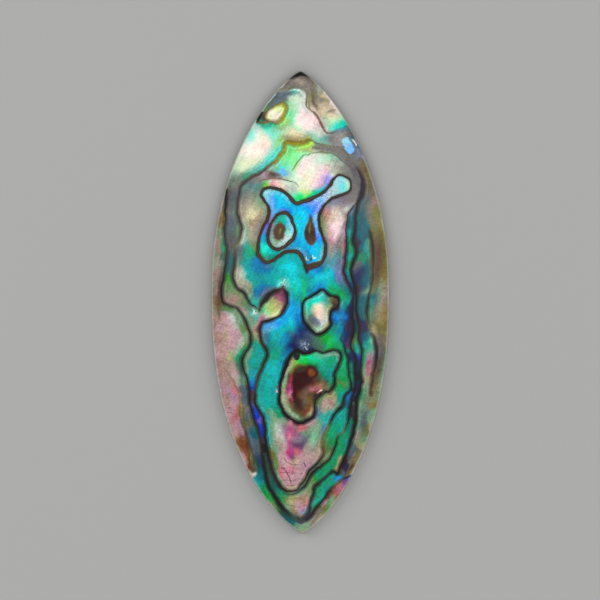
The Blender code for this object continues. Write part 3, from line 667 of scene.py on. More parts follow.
    ("sky", 272, 325.5, 3.5), ("sky", 277.5, 322, 3.5), ("ice", 270, 329.5, 2.5),
    ("steel", 265, 335, 2.6), ("steel", 268.5, 340.5, 3), ("azure", 285, 315.5, 4),
    ("cyan", 291, 321.5, 3.5), ("emerald", 290.5, 325.5, 2), ("reef", 285, 330, 3.5),
    ("teal", 279.5, 345, 4), ("teal", 282.5, 357, 3), ("lagoon", 272, 365, 4), ("reef", 265, 390, 3.5),
    ("slate", 291, 334, 2.6), ("navy", 296, 337.5, 2.6), ("navy", 291, 345, 3),
    ("royal", 287.5, 352, 2), ("royal", 284, 361, 2), ("navy", 300, 330, 3), ("steel", 296, 331.5, 1.6),
    ("navy", 303.5, 338, 3), ("slate", 300, 341.5, 2), ("navy", 302, 347.5, 2.5),
    ("slate", 313, 340, 3), ("steel", 308, 335, 2), ("reef", 277, 403, 2.5), ("lagoon", 276, 334, 4),
    ("teal", 273, 349, 4), ("emerald", 275.6, 354, 2.6), ("lagoon", 276, 375, 3.5),
    ("teal", 268, 377, 3.5), ("lagoon", 272, 385, 3.5), ("teal", 263.5, 383, 3), ("azure", 285, 322, 3),
    ("royal", 297, 321, 3), ("slate", 318, 345, 2), ("royal", 285, 341, 3),
    # Inside the hook.
    ("spring", 307.5, 360, 3.5), ("spring", 304, 357.2, 2.2), ("mint", 313.5, 355.5, 3),
    ("lime", 297, 362.7, 2.4), ("khaki", 293, 364, 2), ("lime", 301, 363.6, 2),
    ("spring", 304, 362.6, 2.4), ("reef", 320, 360, 3.5), ("emerald", 328, 362, 4),
    ("teal", 325, 368.5, 4), ("teal", 331.5, 369, 3), ("sage", 333.5, 354, 3), ("teal", 330, 378, 2.6),
    ("jade", 322, 373, 3), ("rust", 324.5, 382, 2.6), ("ochre", 328, 387, 2), ("jade", 332, 382.5, 1.8),
    ("maroon", 300, 371, 3.5), ("maroon", 300, 379, 4), ("maroon", 309, 367, 3.5),
    ("shade", 306, 389, 2.6), ("maroon", 300, 386, 3), ("bark", 312, 379, 2), ("rust", 315.5, 383, 3),
    ("rose", 315.5, 388.5, 2.2), ("rust", 299, 394, 1.6), ("rose", 288.4, 384, 1.2),
    ("crimson", 290, 381, 1.4), ("magenta", 288.8, 391, 1.4), ("rose", 288, 398.5, 1.4),
    ("maroon", 294, 387, 3), ("maroon", 294.4, 399, 3), ("bark", 300, 405.5, 2.6),
    ("umber", 297.5, 411, 3), ("rust", 307.5, 407, 2.2), ("umber", 302, 408, 2.4),
    ("slate", 304.5, 402.5, 1.6), ("khaki", 283.4, 392, 1.4, 4, 8), ("moss", 285, 381, 1.6, 5, 15),
    ("sage", 289, 408, 2.5), ("moss", 291, 413, 2.4), ("moss", 298, 417.5, 2.6),
    ("sand", 311, 412.5, 2), ("olive", 308, 399.3, 1.8), ("rust", 303, 395.3, 1.8),
    ("maroon", 306, 378.5, 3.5), ("rust", 319, 377, 2), ("maroon", 294, 375.5, 2.6),
    ("sage", 286, 400, 2), ("rust", 292, 405, 1.6), ("umber", 311, 394, 1.8), ("maroon", 309, 383, 3),
    ("sage", 325, 356, 2.5), ("rust", 303, 412, 2.4),
    # Below the hook.
    ("reef", 263.5, 402, 2.6), ("teal", 268.5, 395, 3), ("teal", 273.5, 400, 3), ("sage", 272, 412, 3),
    ("jade", 276.5, 411.5, 2), ("reef", 267, 418.5, 2.6), ("sage", 272, 425, 3), ("mist", 279, 431, 3),
    ("putty", 278, 440, 3), ("reef", 270, 435, 2.5), ("sage", 275, 447, 2.6), ("orchid", 283, 457, 3),
    ("olive", 273, 456, 2.4), ("magenta", 289.6, 433, 2.6), ("orchid", 286, 447, 2.4),
    ("magenta", 291.4, 455, 2.2), ("rose", 303, 427.6, 2.2, 5, 66), ("orchid", 312, 422.6, 2, 4, 66),
    ("plum", 300, 446, 3), ("slate", 302.5, 438, 3), ("orchid", 305, 455.3, 3),
    ("orchid", 303.3, 461, 2.4), ("orchid", 312, 459, 3), ("putty", 315, 447, 3.5),
    ("steel", 323, 430, 2), ("sage", 318, 432, 3), ("mint", 313.5, 440, 2.6), ("moss", 321, 397.7, 2.4),
    ("khaki", 331, 396, 2.4), ("shell", 331, 402.3, 2.8), ("steel", 317.5, 410, 2),
    ("sand", 326.4, 408.4, 2.4), ("orchid", 324, 405, 2.4), ("reef", 325, 415.5, 2.6),
    ("reef", 327.5, 420.5, 2.4), ("rose", 290, 470, 2.5), ("rose", 282, 473, 2),
    ("orchid", 283.5, 463, 2.4), ("moss", 275.4, 461, 1.8), ("orchid", 297, 471, 3.5),
    ("mauve", 311.5, 465.5, 2), ("sage", 282, 425, 3), ("mauve", 296, 438.5, 2.4),
    ("sage", 310, 431, 3), ("sand", 295, 461, 2.5), ("rose", 298, 451, 2.6), ("sage", 337, 405, 2),
    ("orchid", 289, 481, 3), ("orchid", 297, 479, 2.6), ("sand", 291, 488, 2), ("sage", 280, 479, 1.5),
    ("sand", 318, 454, 2.5), ("putty", 309, 447, 2.6),
    # Left of the inner line.
    ("coral", 258, 325, 2), ("plum", 257.6, 328, 1.6), ("coral", 256.6, 333, 2.2),
    ("sage", 256.5, 339, 2.6), ("sage", 252.3, 330, 2), ("moss", 253.5, 337, 2),
    ("teal", 257, 344.5, 2.6), ("teal", 259, 351, 3), ("teal", 260, 357.5, 2.5),
    ("sage", 249.5, 353, 2.4), ("sage", 247, 365, 2.4), ("sage", 249, 372, 2), ("teal", 256, 365, 3),
    ("azure", 253.5, 374.5, 2), ("royal", 252.3, 382.5, 2.2), ("cobalt", 252.4, 388, 1.7),
    ("plum", 252.6, 393, 1.4), ("cobalt", 254.6, 409.5, 1.5), ("iris", 253.6, 406.5, 1.2),
    ("cobalt", 257.2, 416, 1.8), ("violet", 261, 421, 1.8), ("cobalt", 260, 428, 1.8),
    ("cobalt", 262.4, 432.5, 1.4), ("plum", 263, 440, 1.2), ("ink", 264.2, 447, 1.2),
    ("pine", 266, 458, 1.2), ("pine", 268, 468, 1.4), ("pine", 270, 478, 1.8),
    ("petrol", 277, 487.5, 2), ("teal", 254, 360, 2.5), ("shade", 252.6, 399, 1.2),
    ("pine", 272, 484, 2),
    # The pod left of the long line.
    ("moss", 228, 308.5, 1.6, 5, 80), ("sage", 235, 312, 1.8, 4, -60),
    ("sage", 240, 319.5, 1.8, 5, -30), ("moss", 244.5, 328, 1.8, 5, -20), ("sage", 245.8, 335.5, 2),
    ("mist", 241.6, 344, 2.4), ("moss", 245.6, 345, 1.4), ("jade", 240.5, 354, 2),
    ("jade", 239.8, 361.5, 1.6), ("pine", 240.8, 371, 2), ("slate", 243.3, 388, 2),
    ("orchid", 222.5, 316, 2.4), ("orchid", 226.5, 320, 2.6), ("orchid", 232, 326.5, 3),
    ("orchid", 236, 335.5, 3), ("mist", 231.5, 318.5, 2.4), ("orchid", 232, 346, 3.5),
    ("khaki", 229.5, 355.5, 3), ("sage", 235.5, 352.5, 2.4), ("putty", 231.5, 366, 3),
    ("orchid", 235, 374, 2.2), ("khaki", 225.8, 335, 0.9, 6, -5), ("sage", 239, 379, 2),
    ("shell", 225, 350, 3), ("orchid", 224, 330, 2.4),
    # Left of the olive line.
    ("shell", 224.5, 380, 3), ("mauve", 228, 389, 3), ("mauve", 233, 396, 2.6),
    ("rose", 234.6, 390.5, 1.8), ("orchid", 231.5, 408, 3), ("rose", 235.5, 418, 2.6),
    ("mauve", 240.5, 431, 2), ("orchid", 236.5, 431, 2.2), ("rust", 240, 440, 2.4),
    ("rust", 244, 447, 2.2), ("rust", 247, 454, 1.8), ("orchid", 244, 459, 2.4),
    ("ochre", 239.2, 411, 1.6), ("shell", 228, 400, 2.5), ("shell", 233, 424, 2.4),
    ("putty", 238, 449, 1.4), ("sand", 249.8, 474, 1.6), ("rust", 250, 464, 1.4),
    ("mauve", 238, 424, 1.8), ("slate", 245, 398, 2), ("smoke", 246.5, 410, 2),
    ("slate", 246.3, 419, 2), ("olive", 246.2, 424.5, 1.6), ("slate", 248.5, 430, 2),
    ("petrol", 254, 436, 2), ("slate", 257, 443, 2.2), ("slate", 258, 452, 2.4),
    ("navy", 259.8, 460, 2.2), ("pine", 256.4, 463, 1.8), ("olive", 254.8, 467, 1.6),
    ("petrol", 260.5, 471.5, 2), ("petrol", 260, 479, 1.8), ("steel", 251.5, 438, 1.6),
    ("sage", 244.3, 379.5, 1.4),
    # Between the two lower right lines.
    ("royal", 347.3, 397.5, 2), ("petrol", 346.3, 404, 2.2), ("teal", 345, 410, 2.4),
    ("reef", 341.7, 416, 2.6), ("teal", 337.6, 413, 2.2), ("teal", 335, 421.5, 2.6),
    ("jade", 332.5, 437, 2.4), ("moss", 328.3, 440, 2.4), ("olive", 327, 449.5, 2.6),
    ("sage", 325, 457, 2), ("sage", 315, 467.3, 1.6), ("emerald", 331, 429.5, 2.6),
    ("jade", 330.6, 444.4, 2.4), ("jade", 340, 424.5, 2.6), ("teal", 343, 423, 2.2),
    ("moss", 322.5, 461.5, 1.6), ("moss", 309.5, 473.6, 1.2), ("moss", 304, 482, 1.2),
    ("moss", 329, 447, 2.2), ("khaki", 324, 459, 1.4), ("petrol", 350.8, 427, 2),
    ("jade", 344.5, 433.5, 2), ("jade", 341.3, 438.3, 2.2), ("teal", 346.5, 441.5, 2.2),
    ("jade", 341, 450, 2.6), ("khaki", 339, 460.5, 2), ("khaki", 337, 468.5, 1.6),
    ("jade", 335, 457.3, 2), ("jade", 331, 466.7, 2), ("jade", 318.3, 474.5, 2),
    ("sage", 305.5, 488.3, 2), ("grape", 352, 410, 1.6), ("jade", 325, 469.5, 2), ("moss", 312, 481, 2),
    ("jade", 351.3, 421, 1.6), ("moss", 309.5, 487, 2), ("grape", 352.5, 416, 1.4),
    ("sage", 303, 494, 1.6),
    # Right of the long line, lower part.
    ("sage", 361, 408, 2.6), ("sage", 363.5, 403, 2.6), ("sage", 358.6, 419, 2),
    ("slate", 364, 413.5, 2.6), ("slate", 363, 424, 2.5), ("olive", 365.5, 432.5, 2.6),
    ("sage", 370, 418, 2.6), ("putty", 357, 437, 1.8), ("sage", 357.3, 426.5, 1.8),
    ("sage", 362, 438, 2.2), ("slate", 352.5, 447, 1.7), ("grape", 345.3, 463, 1.6),
    ("slate", 350.6, 452.5, 1.6), ("navy", 346, 467.5, 1.6), ("slate", 343, 473, 1.6),
    ("khaki", 357.5, 462.5, 2.2), ("sand", 355, 468, 2.2), ("sand", 370.5, 426, 2),
    ("khaki", 364, 446, 2.4), ("sand", 361, 456, 2.2), ("sage", 366, 439, 2), ("ochre", 371, 405, 2.4),
    ("shade", 349, 457.5, 1.6), ("sand", 351.5, 474, 1.8),
    # Below the keel: the wing and the tongue.
    ("teal", 325.5, 486, 2.5), ("teal", 332, 477, 1.8), ("iris", 336.3, 477.6, 1.4),
    ("jade", 321.5, 487.5, 2.2), ("teal", 322.5, 492, 2.2), ("reef", 318, 499, 2.2),
    ("jade", 314, 506.5, 2), ("pine", 313.2, 498, 1.8), ("jade", 330, 480, 2.4), ("jade", 318, 493, 2),
    ("umber", 331.5, 489.5, 2), ("pink", 340, 486.6, 2.2), ("rust", 335.3, 491, 2),
    ("rose", 341, 491, 2.4), ("violet", 345, 486.5, 2), ("plum", 346.3, 483, 1.6),
    ("violet", 348, 480, 1.8), ("sage", 331.5, 499.5, 2.2), ("moss", 327, 507.5, 2.2),
    ("mauve", 325.5, 502.5, 1.5), ("smoke", 318, 512.5, 2), ("khaki", 334.5, 502.5, 1.8),
    ("sand", 320.5, 517.5, 2), ("putty", 313, 520, 2), ("umber", 328, 495.5, 1.6),
    ("ochre", 338.5, 495.5, 2), ("ochre", 322.5, 510, 2), ("jade", 280, 495.5, 2.2),
    ("moss", 284.3, 500.5, 2.4), ("khaki", 290, 502.7, 2.4), ("khaki", 292.5, 499, 2),
    ("orchid", 299, 505, 2.2), ("orchid", 299.8, 509.3, 2), ("lilac", 301.4, 512.6, 1.6),
    ("coral", 305, 497, 1.8), ("moss", 303.4, 499.4, 1.4), ("ochre", 295.5, 513.5, 2),
    ("sage", 287, 508, 2), ("rose", 304.6, 503.5, 2),
    # The rim below the long line on the left.
    ("reef", 258.6, 482, 2), ("jade", 265, 490.5, 2), ("leaf", 267.6, 497.6, 2),
    ("moss", 275.5, 506.5, 2.2), ("pine", 281.4, 511.8, 2.2), ("petrol", 290.5, 519, 2.2),
    ("sage", 298, 527, 2), ("khaki", 303, 531.6, 1.6), ("grape", 303, 521.3, 1.4),
    # The pearl dot at 252, 474 is a painted highlight on the steep edge.
    ("sage", 308, 522.5, 1.8), ("pearl", 252, 474.3, 1.2), ("sand", 271, 505, 1.4),
    ("sage", 305, 527.5, 1.6),
)

# Pale speckle along the inside of a cell's lines, round a place in the cell; the glitter entries are
# painted glints of light.
FROSTS_AND_GLINTS = (
    # The blue island, the eye in it, and the edges beside them.
    FrostAndGlint(268, 195, 0.9, 4.0, 9),
    FrostAndGlint(284, 199, 0.6, 2.0, 8),
    FrostAndGlint(318, 203, 0.6, 2.4, 10),
    FrostAndGlint(330, 193.5, 0.9, 3.0, 9),
    FrostAndGlint(347, 183, 0.5, 1.6, 8),
    FrostAndGlint(318, 222, 0.45, 2.0, 16),
    FrostAndGlint(318, 254, 0.8, 2.0, 8),
    FrostAndGlint(299, 252, 0.5, 1.6, 8),
    FrostAndGlint(283, 240, 0.7, 3.0, 12),
    FrostAndGlint(290, 227, 0.6, 2.2, 10),
    FrostAndGlint(312, 301, 0.35, 1.6, 14),
    FrostAndGlint(262, 310, 0.3, 1.6, 12),
    FrostAndGlint(286, 405, 0.35, 1.6, 16),
    FrostAndGlint(335, 353, 0.3, 1.5, 12),
    # Painted glints: glitter of light across the layers, where they break.
    FrostAndGlint(284, 284, 0.5, 30, 5.5),
    FrostAndGlint(255.4, 312.6, 0.5, 30, 3.2),
    FrostAndGlint(304, 344.6, 0.45, 30, 4),
)

# Dimples in the polished face. Their depth is in metres.
NICKS = (
    # The dark pit at the hook, and the chips where the layers break.
    Nick(297.3, 356.8, 2.6, 0.00018),
    Nick(311, 258, 1.6, 0.00006),
    Nick(306.8, 344.5, 1.6, 0.00006),
    Nick(280, 285.5, 1.8, 0.00004),
    Nick(254, 312.5, 1.8, 0.00004),
    Nick(319, 392.4, 1.6, 0.00006),
    Nick(277, 389, 1.4, 0.00004),
    Nick(355.4, 142.6, 1.4, 0.00004),
)


def srgb(name):
    """A palette colour as three shares of 1, still in screen values."""
    code = PALETTE[name]
    return np.array([int(code[place:place + 2], 16) / 255 for place in (0, 2, 4)])


def linear(colour):
    """Screen values turned into light: c / 12.92 below 0.04045, else ((c + 0.055) / 1.055) ** 2.4."""
    colour = np.clip(colour, 0, 1)
    return np.where(colour <= 0.04045, colour / 12.92, ((colour + 0.055) / 1.055) ** 2.4)


# The surface of the stone.


def half_width(along):
    """Half the stone's width at a station: WIDTH / 2 * (1 - |t| ** fullness) ** TIP_ROUNDNESS."""
    fullness = np.where(along > 0, BLUNT_FULLNESS, LONG_FULLNESS)
    return WIDTH / 2 * np.clip(1 - np.abs(along) ** fullness, 0, 1) ** TIP_ROUNDNESS


def outline_point(along, side, inset):
    """X and Y of the outline at t = along on one side, drawn in by inset all round."""
    reach = np.where(along > 0, LENGTH / 2 - WIDEST_AT, LENGTH / 2 + WIDEST_AT)
    x = TIP_LEAN * np.clip(-along, 0, 1) ** 4 + side * half_width(along)
    y = WIDEST_AT + along * reach
    return x * (1 - 2 * inset / WIDTH), y * (1 - 2 * TIP_INSET * inset / LENGTH)


def between_sides(along, across, inset):
    """X and Y inside the outline, with across from -1 on its left side to 1 on its right side."""
    left, y = outline_point(along, -1, inset)
    right, y = outline_point(along, 1, inset)
    x = (left + right) / 2 + across * (right - left) / 2
    return x, y + 0 * x


def dome_height(along, across):
    """The girdle height plus a rise of
    (share of WIDTH) ** DOME_FALL * (1 - |across| ** DOME_FLATNESS) ** DOME_ROUNDNESS."""
    rise = (HEIGHT - GIRDLE_HEIGHT) * (2 * half_width(along) / WIDTH) ** DOME_FALL
    return GIRDLE_HEIGHT + rise * np.clip(1 - np.abs(across) ** DOME_FLATNESS, 0, 1) ** DOME_ROUNDNESS


def station_places():
    """Places of the rows, from -1 at the long tip to 1 at the blunt tip:
    sign(place) * (1 - (1 - |place|) ** ROW_CLOSING)."""
    place = np.linspace(-1, 1, ROWS + 1)
    return np.sign(place) * (1 - (1 - np.abs(place)) ** ROW_CLOSING)


def column_places():
    """Places from -1 to 1 across: a blend of even steps and of the sine of even angles."""
    place = np.linspace(-1, 1, COLUMNS + 1)
    return (1 - COLUMN_CLOSING) * place + COLUMN_CLOSING * np.sin(np.pi / 2 * place)


def polished_face():
    """The dome over the outline, tips included: a grid of rows by columns with x, y and z. Each nick sinks
    by depth * exp(-(distance / radius) ** 2)."""
    along = station_places()[:, None]
    across = column_places()[None, :]
    face = np.stack([*between_sides(along, across, WALL_DRAFT), dome_height(along, across)], axis=-1)
    spots = to_drawing(face)
    for nick in NICKS:
        away = np.hypot(spots[..., 0] - nick.x, spots[..., 1] - nick.y) / nick.radius
        face[..., 2] -= nick.depth * np.exp(-away ** 2)
    return face


def outline_ring(inset, height):
    """A closed ring of points round the outline, anticlockwise from the long tip, at one height."""
    along = station_places()
    right = np.stack(outline_point(along, 1, inset), axis=-1)
    left = np.stack(outline_point(along[1:-1], -1, inset), axis=-1)[::-1]
    ring = np.concatenate([right, left])
    return np.column_stack([ring, np.full(len(ring), height)])


def flat_back(inset):
    """The flat back inside its ring: a grid from the right side to the left, so that it faces down."""
    along = station_places()[1:-1, None]
    across = np.linspace(1, -1, BACK_COLUMNS + 1)[None, 1:-1]
    x, y = between_sides(along, across, inset)
    return np.stack([x, y, 0 * x], axis=-1)


def grid_quads(index):
    """Quads between the neighbours of a grid of vertex numbers."""
    corners = [index[:-1, :-1], index[:-1, 1:], index[1:, 1:], index[1:, :-1]]
    return np.stack(corners, axis=-1).reshape(-1, 4)


def back_quads(ring, inner):
    """Quads of the flat back, from the vertex numbers of the ring round it and of its inner grid."""
    right = ring[1:ROWS][:, None]
    left = ring[ROWS + 1:][::-1][:, None]
    sheet = np.concatenate([right, inner, left], axis=1)
    low_tip = np.full((1, sheet.shape[1]), ring[0])
    high_tip = np.full((1, sheet.shape[1]), ring[ROWS])
    return grid_quads(np.concatenate([low_tip, sheet, high_tip]))


def stone_mesh(face):
    """Joins face, wall rings and back into one closed mesh, with one vertex at each tip."""
    index = np.arange(face.shape[0] * face.shape[1]).reshape(face.shape[:2])
    step = EDGE_STEP * BACK_BEVEL
    rings = [outline_ring(0.0, BACK_BEVEL), outline_ring(step, step), outline_ring(BACK_BEVEL, 0.0)]
    back = flat_back(BACK_BEVEL)
    points = np.concatenate([face.reshape(-1, 3), *rings, back.reshape(-1, 3)])
    index[0] = index[0, 0]
    index[ROWS] = index[ROWS, 0]
    quads = [grid_quads(index)]
    above = np.concatenate([index[:, -1], index[1:-1, 0][::-1]])
    start = index.size
    for ring_points in rings:
        ring = start + np.arange(len(ring_points))
        quads.append(np.stack([np.roll(above, 1), np.roll(ring, 1), ring, above], axis=-1))
        above = ring
        start += len(ring)
    inner = start + np.arange(back.size // 3).reshape(back.shape[:2])
    quads.append(back_quads(above, inner))
    return points, np.concatenate(quads)


def add_faces(mesh, points, quads):
    """Fills the mesh. A quad whose corners meet at a tip becomes a triangle. Returns the points used."""
    used, renumbered = np.unique(quads, return_inverse=True)
    quads = renumbered.reshape(-1, 4)
    folded = (quads[:, 0] == quads[:, 1]) | (quads[:, 2] == quads[:, 3])
    folded |= (quads[:, 1] == quads[:, 2]) | (quads[:, 3] == quads[:, 0])
    faces = quads[~folded].tolist()
    for corners in quads[folded].tolist():
        faces.append(list(dict.fromkeys(corners)))
    mesh.from_pydata(points[used], [], faces)
    return used


# The drawing: growth lines, cells and patches of colour.


def to_drawing(points):
    """X and Y in metres turned into the drawing's units."""
    x = DRAWING_CENTRE[0] + points[..., 0] / DRAWING_UNIT
    y = DRAWING_CENTRE[1] - points[..., 1] / DRAWING_UNIT
    return np.stack([x, y], axis=-1)


def nearest_spots(spots, centres):
    """The index of the spot nearest to each centre."""
    return np.array([((spots - centre) ** 2).sum(axis=1).argmin() for centre in centres])


def swirl(spots, longest, strongest, octaves):
    """A gentle waviness of the layers: octaves of crossed sines, each about half as long and as strong
    as the last."""
    shift = np.zeros((2, len(spots)))
    x, y = spots[:, 0], spots[:, 1]
    first_crossing, second_crossing = SWIRL_CROSSINGS
    for octave in range(octaves):
        length = longest / SWIRL_SHRINK ** octave
        size = strongest / SWIRL_FADE ** octave
        turn = SWIRL_START + SWIRL_TURN * octave
        along = x * np.cos(turn) + y * np.sin(turn)
        across = y * np.cos(turn) - x * np.sin(turn)
        bend = SWIRL_BEND * np.sin(along / (first_crossing * length))
        shift[0] += size * np.sin(across / length + bend)
        bend = SWIRL_BEND * np.sin(across / (second_crossing * length) + octave)
        shift[1] += size * np.sin(along / length + bend)
    return shift


def smooth_curve(points):
    """A Catmull-Rom curve through the points, with the width carried along: rows of x, y, width and the
    share of the length so far."""
    points = np.array(points, float)
    closed = np.allclose(points[0, :2], points[-1, :2]) and len(points) > 2
    before = points[-2] if closed else 2 * points[0] - points[1]
    after = points[1] if closed else 2 * points[-1] - points[-2]
    knots = np.vstack([before, points, after])
    t = (np.arange(CURVE_STEPS) / CURVE_STEPS)[None, :, None]
    a, b, c, d = (knots[place:len(knots) - 3 + place, None, :] for place in range(4))
    curve = b + t * (c - a) / 2 + t ** 2 * (a - 2.5 * b + 2 * c - d / 2)
    curve = curve + t ** 3 * (1.5 * (b - c) + (d - a) / 2)
    curve = np.vstack([curve.reshape(-1, 3), points[-1]])
    lengths = np.append(0, np.linalg.norm(np.diff(curve[:, :2], axis=0), axis=1).cumsum())
    return np.column_stack([curve, lengths / lengths[-1]])


def tone_along(names, share):
    """Colour at each share of a line's length, blended between its evenly spaced tones."""
    tones = np.array([srgb(name) for name in names.split()])
    places = np.linspace(0, 1, len(tones))
    return np.stack([np.interp(share, places, tones[:, part]) for part in range(3)], axis=-1)


def measure_line(spots, line):
    """For each spot: the line's half width - distance, down to -GAP_REACH, its half width at the nearest
    place, and its tone there."""
    depth = np.full(len(spots), -GAP_REACH)
    half_widths = np.zeros(len(spots))
    tone = np.zeros((len(spots), 3))
    curve = smooth_curve(line.points)
    for start in range(0, len(curve) - 1, CURVE_STRIDE):
        piece = curve[start:start + CURVE_STRIDE + 1]
        low = piece[:, :2].min(axis=0) - GAP_REACH
        high = piece[:, :2].max(axis=0) + GAP_REACH
        near = np.flatnonzero(((spots > low) & (spots < high)).all(axis=1))
        if len(near) == 0:
            continue
        first, last = piece[:-1], piece[1:]
        step = last[:, :2] - first[:, :2]
        span = np.maximum((step ** 2).sum(axis=1), NO_LENGTH)
        offset = spots[near, None, :] - first[None, :, :2]
        share = np.clip((offset * step).sum(axis=2) / span, 0, 1)
        away = np.linalg.norm(offset - share[..., None] * step, axis=2)
        half = (first[:, 2] + share * (last[:, 2] - first[:, 2])) / 2
        best = (half - away).argmax(axis=1)
        rows = np.arange(len(near))
        inside = (half - away)[rows, best]
        place = (first[:, 3] + share * (last[:, 3] - first[:, 3]))[rows, best]
        better = inside > depth[near]
        chosen = near[better]
        depth[chosen] = inside[better]
        half_widths[chosen] = half[rows, best][better]
        tone[chosen] = tone_along(line.tones, place[better])
    return depth, half_widths, tone


def line_edge_and_tone(line, depth, half_widths, tone):
    """The line's edge value, depth / softness, and its tone, with a rimmed line darker along its edges
    and a dark line that parts two cells drawn thinner and darker in its middle."""
    edge = np.where(depth > -GAP_REACH, depth / line.soft, -GAP_REACH)
    if line.rimmed:
        return edge, tone * (1 - RIM_DEPTH * np.exp(-((depth - RIM_PLACE) / RIM_WIDTH) ** 2))[:, None]
    if not line.blocks:
        return edge, tone
    edge = edge - LINE_THINNING * np.clip(2 * half_widths - THINNED_FROM, 0, 1) / line.soft
    core = np.clip(depth / CORE_REACH, 0, 1)[:, None]
    darkest, brightest = CORE_TONES
    dark = np.clip((brightest - tone.max(axis=1)) / (brightest - darkest), 0, 1)[:, None]
    return edge, tone * (1 - CORE_DEPTH * dark * core ** 2 * (3 - 2 * core))


def draw_lines(spots):
    """At each spot: the strongest line's edge value and tone, and the gap to the nearest line that parts
    two cells, with that line's tone and how strongly it shades the nacre, from 0 to 1."""
    edge = np.full(len(spots), -EDGE_LIMIT)
    tone = np.tile(srgb("bark"), (len(spots), 1))
    gap = np.full(len(spots), GAP_REACH)
    halo = tone.copy()
    weight = np.zeros(len(spots))
    wavering = spots + swirl(spots, *LINE_SWIRL).T
    for line in LINES:
        depth, half_widths, line_tone = measure_line(wavering, line)
        line_edge, line_tone = line_edge_and_tone(line, depth, half_widths, line_tone)
        share = np.clip(0.5 + (line_edge - edge) / OVERLAP, 0, 1)[:, None]
        tone = tone * (1 - share) + line_tone * share
        edge = np.maximum(edge, line_edge)
        if line.blocks:
            nearer = -depth < gap
            gap[nearer] = -depth[nearer]
            halo[nearer] = line_tone[nearer]
            strongest = RIMMED_SHADING if line.rimmed else 1
            weight[nearer] = np.clip((half_widths[nearer] - LEAST_SHADING) / SHADING_RISE, 0, strongest)
    return np.clip(edge, -EDGE_LIMIT, EDGE_LIMIT), tone, gap, halo, weight


def shifted(grid, shift, axis):
    """The grid moved by one step, with infinity coming in at the edge."""
    moved = np.roll(grid, shift, axis)
    edge = [slice(None), slice(None)]
    edge[axis] = 0 if shift > 0 else -1
    moved[tuple(edge)] = np.inf
    return moved


def lowest_nearby(number):
    """At each spot, the lowest number of the spot and its four neighbours."""
    lowest = number.copy()
    for axis in (0, 1):
        for shift in (1, -1):
            lowest = np.minimum(lowest, shifted(number, shift, axis))
    return lowest


def sweep(number, wall):
    """Carries the lowest number along each free run of each row and column at once."""
    for axis in (0, 1):
        grid = np.moveaxis(number, axis, 0)
        blocked = np.moveaxis(wall, axis, 0)
        for order in (range(1, len(grid)), range(len(grid) - 2, -1, -1)):
            back = -1 if order.step > 0 else 1
            for place in order:
                carried = np.minimum(grid[place], grid[place + back])
                grid[place] = np.where(blocked[place], np.inf, carried)
    return number


def find_cells(wall):
    """Numbers the cells between the lines: free spots take their neighbours' lowest number until none
    changes, and then the spots under the lines take the number next to them."""
    number = np.arange(wall.size).reshape(wall.shape).astype(float)
    number[wall] = np.inf
    while True:
        lowest = lowest_nearby(number)
        lowest[wall] = np.inf
        lowest = sweep(lowest, wall)
        if np.array_equal(lowest, number):
            break
        number = lowest
    while np.isinf(number).any():
        number = np.where(np.isinf(number), lowest_nearby(number), number)
    return number.reshape(-1)


def cell_members(cells):
    """The spots of each cell, by the cell's number."""
    numbers, cell_index = np.unique(cells, return_inverse=True)
    order = np.argsort(cell_index, kind="stable")
    starts = np.searchsorted(cell_index[order], np.arange(len(numbers) + 1))
    return {number: order[starts[i]:starts[i + 1]] for i, number in enumerate(numbers)}


def gap_slope(spots, centres, gap, way):
    """How fast the gap to the nearest line grows one way from each centre."""
    ahead = gap[nearest_spots(spots, centres + SLOPE_PROBE * np.array(way))]
    behind = gap[nearest_spots(spots, centres - SLOPE_PROBE * np.array(way))]
    return (ahead - behind) / (2 * SLOPE_PROBE)


def patch_pull(patch, dx, dy, gap_growth, angle, steepness):
    """How strongly a patch colours spots dx and dy from its centre, where the gap to the nearest line has
    grown by gap_growth. It is exp(-square / 2) + FAR_PULL / (1 + square) ** 2, where square is the squared
    distance in units of the patch's own width and length. A patch with no lean of its own lies along the
    nearest line, which it meets at angle."""
    wide = PATCH_SPREAD * patch.wide
    if patch.long:
        angle = -np.radians(patch.lean)
        long = PATCH_SPREAD * patch.long
    else:
        long = wide * (1 + PATCH_STRETCH * min(1, steepness))
    side = (dx * np.cos(angle) + dy * np.sin(angle)) / wide
    end = (dy * np.cos(angle) - dx * np.sin(angle)) / long
    layer = LAYER_PULL * gap_growth / wide
    square = side ** 2 + end ** 2 + layer ** 2
    return np.exp(-square / 2) + FAR_PULL / (1 + square) ** 2


